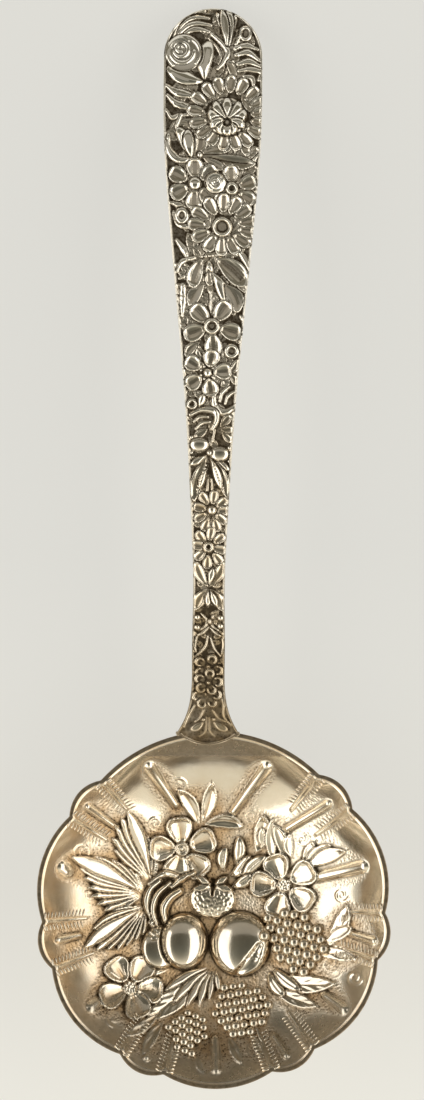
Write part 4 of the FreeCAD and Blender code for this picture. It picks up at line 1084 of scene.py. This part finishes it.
# The matting follows the grime, painted shade round the neck included.
handle_marks = {"grime_and_shade": read[:, 0], "film_and_shade": read[:, 1], "matting_and_shade": read[:, 0] * 0.4}
handle = piece_from("handle_struck", handle_points, handle_faces, handle_silver, handle_marks)
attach(handle, "root")
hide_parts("handle")

# %% [markdown]
# ## The heel
# Under the joint a heel runs from the stem down on to the outside of the bowl and ends in a
# round drop. It stiffens the joint, and it is all that a diner across the table sees of it.

# %% Shape the heel
HEEL_Y, HEEL_LONG, HEEL_HALF, HEEL_COUNT = -45, 11, 3.2, 15
heel_loops = []
for t in np.linspace(0.02, 1, 30):
    y = HEEL_Y + HEEL_LONG * t
    end = max(1 - (1 - min((y - HEEL_Y) / HEEL_HALF, 1)) ** 2, 0.0004)
    half = HEEL_HALF * sqrt(min(1, end))
    floor = 12.4 + 6.4 * t - 4.8 * t * (1 - t)
    a = np.linspace(-half, half, HEEL_COUNT)
    reach = np.minimum(np.hypot(a, y - BOWL_Y), 37.3)
    wall = DISH_R - np.sqrt((DISH_R - WALL / 2) ** 2 - reach ** 2)
    cap = np.minimum(wall, 18.7) if y < WIDTHS[0][0] else 0 * a + float(crown(max(y, RIM_Y))) - 1.5
    curve = np.sqrt(np.clip(1 - (a / half) ** 2, 0, 1))
    lower = np.minimum(cap - 0.02, cap + (floor - cap.min()) * curve)
    points = np.vstack([np.stack([a, 0 * a + y, cap], -1), np.stack([a, 0 * a + y, lower], -1)[::-1]])
    places = np.arange(HEEL_COUNT)
    heel_loops.append((points, np.concatenate([places / (HEEL_COUNT - 1), 1.05 + places / HEEL_COUNT])))
heel_points, heel_faces = sewn(capped(heel_loops), 2.1)
plain_marks = {"film_and_shade": np.full(len(heel_points), 0.3)}
heel = piece_from("root_heel", leaned(heel_points), heel_faces, handle_silver, plain_marks)
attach(heel, "root")

# %% [markdown]
# ## What repeats
# The berry clusters are one drupelet many times, the ridges beside each crease are one stroke
# of a chasing tool many times, and the dots of the handle are one bead many times. Geometry
# Nodes are made for that: points carry a place, a turn and a size, a tree sets one small
# form on each, and the form is changed once for all of them.


# %% A tree that sets a form on each point
def new_tree(name, **sockets):
    """A Geometry Nodes tree with a geometry and more values as inputs, and those inputs."""
    tree = bpy.data.node_groups.new(name, "GeometryNodeTree")
    for called, kind in {"Geometry": "Geometry", **sockets}.items():
        tree.interface.new_socket(called, in_out="INPUT", socket_type="NodeSocket" + kind)
    tree.interface.new_socket("Geometry", in_out="OUTPUT", socket_type="NodeSocketGeometry")
    return tree, add(tree, "NodeGroupInput").outputs


def ended(tree, geometry, material):
    """The tree, which ends in a plain mesh of one material."""
    real = add(tree, "GeometryNodeRealizeInstances", {"Geometry": geometry})
    painted = add(tree, "GeometryNodeSetMaterial",
                  {"Geometry": real.outputs["Geometry"], "Material": material})
    add(tree, "NodeGroupOutput", {"Geometry": painted.outputs["Geometry"]})
    return tree


def dotted_tree(name, rings, segments, material):
    """A tree that sets a flattened ball on each point, turned and sized as the point says."""
    tree, given = new_tree(name, Radius="Float", Proportions="Vector")

    def read(called, kind):
        named = add(tree, "GeometryNodeInputNamedAttribute", {"Name": called}, data_type=kind)
        return named.outputs["Attribute"]

    form = add(tree, "GeometryNodeMeshUVSphere",
               {"Segments": segments, "Rings": rings, "Radius": given["Radius"]})
    shaped = add(tree, "GeometryNodeTransform",
                 {"Geometry": form.outputs["Mesh"], "Scale": given["Proportions"]})
    smooth = add(tree, "GeometryNodeSetShadeSmooth", {"Geometry": shaped.outputs["Geometry"]})
    turn = add(tree, "FunctionNodeEulerToRotation", {"Euler": read("turn", "FLOAT_VECTOR")})
    scatter = add(tree, "GeometryNodeInstanceOnPoints", {
        "Points": given["Geometry"], "Instance": smooth.outputs["Geometry"],
        "Rotation": turn.outputs["Rotation"], "Scale": read("amount", "FLOAT"),
    })
    return ended(tree, scatter.outputs["Instances"], material)


def replace_mesh(carrier, tree, values):
    """Gives an object the plain mesh that a tree makes of it."""
    modifier = carrier.modifiers.new("repeat", "NODES")
    modifier.node_group = tree
    sockets = {item.name: item.identifier for item in tree.interface.items_tree
               if item.in_out == "INPUT"}
    for name, value in values.items():
        modifier[sockets[name]] = value
    seen = carrier.evaluated_get(bpy.context.evaluated_depsgraph_get())
    mesh = bpy.data.meshes.new_from_object(seen)
    carrier.modifiers.remove(modifier)
    carrier.data = mesh
    return mesh


def grown(name, points, turns, amounts, tree, radius, proportions, film_and_shade, grime_and_shade):
    """The tree's result on these points as a plain mesh that rides on the spoon."""
    cloud = bpy.data.meshes.new(name)
    cloud.from_pydata((np.asarray(points) * MM).tolist(), [], [])
    set_mark(cloud, "turn", turns, "FLOAT_VECTOR", "vector")
    set_mark(cloud, "amount", amounts)
    carrier = placed(name, cloud)
    mesh = replace_mesh(carrier, tree, {"Radius": radius * MM, "Proportions": proportions})
    for mark, value in (("film_and_shade", film_and_shade), ("grime_and_shade", grime_and_shade)):
        set_mark(mesh, mark, np.full(len(mesh.vertices), value))
    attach(carrier, "root")
    print(name, len(points), "times,", len(mesh.polygons), "faces")


def bowl_spot(px, py):
    """Place and normal of the bowl's inside under a pixel of the photograph."""
    x, y = from_px(px, py)
    r, angle = np.hypot(x, y - BOWL_Y), np.arctan2(y - BOWL_Y, x)
    reach = r
    for _ in range(6):
        here = wall_point(reach, angle, INNER_R, FLUTE_FOOT + WALL)
        reach = np.minimum(reach + r - np.hypot(here[..., 0], here[..., 1] - BOWL_Y), RIM_INNER)
    place = inner_point(reach, angle)
    normal = np.array([0, BOWL_Y, DISH_R]) - place
    return place, normal / np.linalg.norm(normal, axis=-1, keepdims=True)


def turned(normal, heading):
    """Euler angles of a frame that stands on a surface with X towards a plan heading."""
    ahead = np.array([cos(heading), sin(heading), 0.0])
    side = np.cross(normal, ahead)
    side = side / np.linalg.norm(side)
    ahead = np.cross(side, normal)
    return Matrix(np.stack([ahead, side, normal], 1).tolist()).to_euler("XYZ")[:]


# %% [markdown]
# ## Berries
# Each cluster is a mound of drupelets in rows, each row set in the gaps of the one before, as
# in a comb. They are the brightest dots in the bowl, since each small ball shows both lamps.

# %% Grow the berry clusters
BERRY_OUTLINES = (
    ((259, 915), (282, 910), (306, 916), (324, 932), (328, 946), (316, 964), (300, 976), (286, 968),
     (276, 950), (264, 936)),
    ((212, 1002), (222, 986), (240, 981), (258, 986), (268, 1000), (268, 1018), (254, 1032),
     (236, 1036), (219, 1030)),
    ((166, 1024), (176, 1011), (190, 1007), (206, 1012), (210, 1026), (202, 1042), (190, 1054),
     (176, 1046)),
)
BERRY_PITCHES = ((10.2, 12), (8.9, -10), (8.1, 25))


def inside(point, outline):
    """True where a point lies inside a closed outline."""
    hit = False
    for (ax, ay), (bx, by) in zip(outline, outline[1:] + outline[:1]):
        if (ay > point[1]) != (by > point[1]) and point[0] < ax + (bx - ax) * (point[1] - ay) / (by - ay):
            hit = not hit
    return hit


chance = np.random.default_rng(7)
berry_px, berry_sizes = [], []
for outline, (pitch, slope) in zip(BERRY_OUTLINES, BERRY_PITCHES):
    centre = np.mean(outline, 0)
    along = px_ray(-slope)
    for row in range(-4, 5):
        for column in range(-5, 6):
            step = pitch * (column + 0.5 * (row % 2)) * along
            spot = centre + step + 0.87 * pitch * row * np.array([-along[1], along[0]])
            spot = spot + chance.uniform(-0.5, 0.5, 2)
            if inside(spot, outline):
                berry_px.append(spot)
                berry_sizes.append(pitch / 9 * chance.uniform(0.96, 1.08))
places, normals = bowl_spot(*np.array(berry_px).T)
berry_tree = dotted_tree("drupelets", 8, 14, bowl_silver)
turns = [turned(normal, 0) for normal in normals]
grown("berry_clusters", places + normals * 0.2, turns, berry_sizes, berry_tree, 1.12, (1, 1, 0.95),
      0.4, 0.16)

# %% [markdown]
# ## Chased strokes
# Beside each crease a row of short slanting strokes was cut with a chasing tool.

# %% Chase the strokes beside the creases
stroke_px, stroke_heads = [], []
for notch_angle in NOTCHES:
    out = px_ray(notch_angle)
    beside = np.array([-out[1], out[0]])
    for step in range(12):
        for side in (-1, 1):
            reach = 169 - 3.5 * step - 1.2 * side
            stroke_px.append(BOWL_PX + out * reach + beside * side * 6)
            stroke_heads.append(radians(notch_angle) - side * radians(115))
places, normals = bowl_spot(*np.array(stroke_px).T)
stroke_tree = dotted_tree("chased_strokes", 4, 8, bowl_silver)
turns = [turned(normal, head) for normal, head in zip(normals, stroke_heads)]
grown("crease_strokes", places, turns, np.ones(len(turns)), stroke_tree, 0.26, (3.6, 0.85, 1.0),
      0.35, 0.1)

# %% [markdown]
# ## Beads of the handle
# Stamens, seeds and the beaded ribs of the long leaves are rows of small beads.

# %% Set the beads
BEAD_RUNS = (
    # the first and the last bead, how many, and their size
    ((204, 259), (222, 257), 6, 0.8), ((208.4, 466), (200, 490), 8, 0.7),
    ((216, 468), (225, 488), 8, 0.7),
    ((193.7, 438.5), (193.7, 453.6), 2, 1.0), ((231.5, 448.8), (231.5, 462), 2, 1.0),
)
bead_px, bead_sizes = [], []
for first, last, count, amount in BEAD_RUNS:
    for share in np.linspace(0, 1, count):
        bead_px.append(np.add(first, np.subtract(last, first) * share))
        bead_sizes.append(amount)
for turn in range(9):
    angle = 2 * pi * turn / 9
    bead_px.append((209.6 + 7 * cos(angle), 374.4 + 7 * sin(angle)))
    bead_sizes.append(0.75)
bead_places = []
for px, py in bead_px:
    y = from_px(px, py)[1]
    a = np.array([(px - axis_px(py)) * PIXEL])
    lift = face_relief(a, y, inset(a, y, half_width(y)))[0]
    bead_places.append((a[0], y, top_height(y) - GROUND + lift))
bead_tree = dotted_tree("beads", 5, 9, handle_silver)
grown("handle_beads", leaned(np.array(bead_places)), np.zeros((len(bead_px), 3)), bead_sizes,
      bead_tree, 0.42, (1, 1, 0.8), 0.2, 0.0)

# %% [markdown]
# ## The solder
# Where the tongue lies on the bowl and where the stem and the heel meet its outside, a thin
# fillet of solder fills the corner. It follows one closed line, so a tree sweeps a small
# circle along that line.

# %% Sweep the solder fillet
seam_line = []
for a in np.linspace(-4.6, 4.6, 9):
    y = TONGUE_Y + TONGUE_R - sqrt(TONGUE_R ** 2 - a * a) - 0.05
    reach = min(sqrt(a * a + (y - BOWL_Y) ** 2), RIM_INNER)
    seam_line.append((a, y, DISH_R - sqrt(INNER_R ** 2 - reach ** 2) + 0.1))
seam_line += [(5.9, -40.2, 18.75), (6.55, -39.75, 19.05), (6.6, -39.2, 18.75), (5.4, -39.45, 18.2),
              (4.2, -39.75, 17.9), (3.3, -40.6, 17.0), (3.2, -42.2, 15.3), (2.3, -44.3, 13.2),
              (0, -45.1, 12.3)]
seam_line += [(-a, y, z) for a, y, z in reversed(seam_line[9:-1])]
seam_line = rounded([tuple(p) for p in seam_line], closed=True, step=0.35)[:-1]
seam_tree, given = new_tree("fillet", Radius="Float")
line = add(seam_tree, "GeometryNodeMeshToCurve", {"Mesh": given["Geometry"]})
profile = add(seam_tree, "GeometryNodeCurvePrimitiveCircle", {"Resolution": 8, "Radius": given["Radius"]})
sweep = add(seam_tree, "GeometryNodeCurveToMesh",
            {"Curve": line.outputs["Curve"], "Profile Curve": profile.outputs["Curve"]})
ended(seam_tree, sweep.outputs["Mesh"], joint_silver)
seam_mesh = bpy.data.meshes.new("solder_line")
count = len(seam_line)
seam_mesh.from_pydata((leaned(np.array(seam_line)) * MM).tolist(),
                      [(i, (i + 1) % count) for i in range(count)], [])
seam = placed("solder_fillet", seam_mesh)
swept = replace_mesh(seam, seam_tree, {"Radius": 0.15 * MM})
faced_out(swept)
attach(seam, "root")
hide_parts("solder_seam")
print("solder fillet", len(swept.polygons), "faces")

# %% [markdown]
# ## Table and light
# Silver has hardly a colour of its own: it shows the room. Two long soft boxes stand left and
# right of a dark gap overhead, so flat places go dark and every slope picks up a bright
# band, and a weak box stands beyond the handle. The table is plain and pale, with a painted
# fall of light: greyer and darker towards the handle's tip, paler and warmer towards the bowl.

# %% Lay the table
def table_material():
    """Plain pale card, which the camera and the silver see a little more evenly lit."""
    material = bpy.data.materials.new("pale_table")
    material.use_nodes = True
    tree = material.node_tree
    parts = add(tree, "ShaderNodeSeparateXYZ", {0: add(tree, "ShaderNodeTexCoord").outputs["Object"]})
    # Painted fall of light: the card is greyer and darker towards the handle's tip, and paler and warmer
    # towards the bowl and past it.
    span = add(tree, "ShaderNodeMapRange", {"Value": parts.outputs["Y"], "From Min": 0, "From Max": -0.2})
    painted_falloff = add(tree, "ShaderNodeMix", {0: span.outputs["Result"], 6: (0.755, 0.75, 0.715, 1),
                                        7: (0.92, 0.9, 0.82, 1)}, data_type="RGBA")
    shader = wire(tree, tree.nodes["Principled BSDF"], {
        "Base Color": painted_falloff.outputs[2], "Roughness": 0.9, "Specular IOR Level": 0.1,
    })
    glow = add(tree, "ShaderNodeEmission", {"Color": painted_falloff.outputs[2]})
    rays = add(tree, "ShaderNodeLightPath").outputs
    seen = rays["Is Camera Ray"]
    for ray in ("Is Glossy Ray", "Is Transmission Ray"):
        seen = add(tree, "ShaderNodeMath", {0: seen, 1: rays[ray]}, operation="MAXIMUM").outputs[0]
    part = add(tree, "ShaderNodeMath", {0: seen, 1: 0.7}, operation="MULTIPLY")
    mix = add(tree, "ShaderNodeMixShader",
              {0: part.outputs[0], 1: shader.outputs[0], 2: glow.outputs[0]})
    wire(tree, tree.nodes["Material Output"], {"Surface": mix.outputs[0]})
    return material


table_mesh = bpy.data.meshes.new("table")
table_mesh.from_pydata([(-40, -40, 0), (40, -40, 0), (40, 40, 0), (-40, 40, 0)], [], [(0, 1, 2, 3)])
table_mesh.materials.append(table_material())
table = placed("table", table_mesh)
table.location.z = -0.0003


# %% Hang the lamps
def soft_box(name, width, length, strength, colour, place, turn):
    """A soft box of this strength for each square metre of it."""
    lamp = bpy.data.lights.new(name, "AREA")
    lamp.shape = "RECTANGLE"
    lamp.size, lamp.size_y = width, length
    lamp.energy = strength * pi * width * length
    lamp.color = colour
    holder = placed(name, lamp)
    holder.location = place
    holder.rotation_euler = turn


for name, angle, width, colour in (("right_box", radians(56), 0.82, (1.0, 0.98, 0.93)),
                                   ("left_box", radians(-56), 0.78, (1.0, 0.98, 0.94))):
    soft_box(name, width, 2.0, 1.6, colour, (sin(angle), -0.32, cos(angle)), (0, angle, 0))
soft_box("end_box", 1.8, 0.5, 0.22, (1.0, 0.97, 0.92), (0, 0.68, 0.76), (radians(-42), 0, 0))
world = bpy.data.worlds.new("studio")
bpy.context.scene.world = world
world.use_nodes = True
sky = world.node_tree
direction = add(sky, "ShaderNodeTexCoord").outputs["Generated"]
parts = add(sky, "ShaderNodeSeparateXYZ", {0: direction})


def gradient(socket, stops):
    """A colour ramp over -1 to 1 of a direction's part."""
    span = add(sky, "ShaderNodeMapRange", {"Value": socket, "From Min": -1})
    made = add(sky, "ShaderNodeValToRGB", {"Fac": span.outputs["Result"]})
    colours = made.color_ramp.elements
    colours.remove(colours[1])
    for i, (at, colour) in enumerate(stops):
        stop = colours.new((at + 1) / 2) if i else colours[0]
        stop.position = (at + 1) / 2
        stop.color = (*colour, 1)
    return made.outputs["Color"]


by_y = gradient(parts.outputs["Y"], ((-1, (0.75, 0.71, 0.6)), (-0.72, (0.94, 0.89, 0.76)),
                                     (-0.35, (0.7, 0.68, 0.6)), (0, (0.38, 0.38, 0.34)),
                                     (0.5, (0.17, 0.16, 0.13)), (1, (0.13, 0.12, 0.09))))
by_z = gradient(parts.outputs["Z"], ((0.0, (1, 1, 1)), (0.6, (0.95, 0.95, 0.95)),
                                     (0.85, (0.54, 0.54, 0.52)), (0.97, (0.33, 0.33, 0.31))))
both = add(sky, "ShaderNodeMix", data_type="RGBA", blend_type="MULTIPLY")
wire(sky, both, {0: 1, 6: by_y, 7: by_z})
haze = add(sky, "ShaderNodeMapRange", {"Value": parts.outputs["Z"], "From Min": 0.18, "From Max": 0.03})
horizon = add(sky, "ShaderNodeMix", data_type="RGBA", blend_type="LIGHTEN")
wire(sky, horizon, {0: haze.outputs["Result"], 6: both.outputs[2], 7: (0.72, 0.71, 0.66, 1)})
wire(sky, sky.nodes["Background"], {"Color": horizon.outputs[2], "Strength": 1.1})
print("three soft boxes and a studio sky")

# %% [markdown]
# ## Camera
# The photograph was taken from straight above with little perspective, so the camera has a
# long lens. It stands over the middle of the photograph's 424 by 1100 pixel frame, at a distance where the
# frame's 1100 pixels span the 36 mm sensor.

# %% Set the camera
FRAME_W, FRAME_H = 424, 1100
LENS, SENSOR = 600.0, 36.0
EYE_LEVEL = 14.0
FILL = 0.994
distance = FILL * FRAME_H * PIXEL * LENS / SENSOR
camera_data = bpy.data.cameras.new("camera")
camera_data.lens = LENS
camera_data.sensor_width = SENSOR
camera_data.clip_end = 100
camera = placed("camera", camera_data)
camera.location = np.array([*from_px(FRAME_W / 2, FRAME_H / 2), distance + EYE_LEVEL]) * MM
bpy.context.scene.camera = camera
bpy.context.scene.view_settings.view_transform = "Standard"
print("camera", [round(value, 4) for value in camera.location])
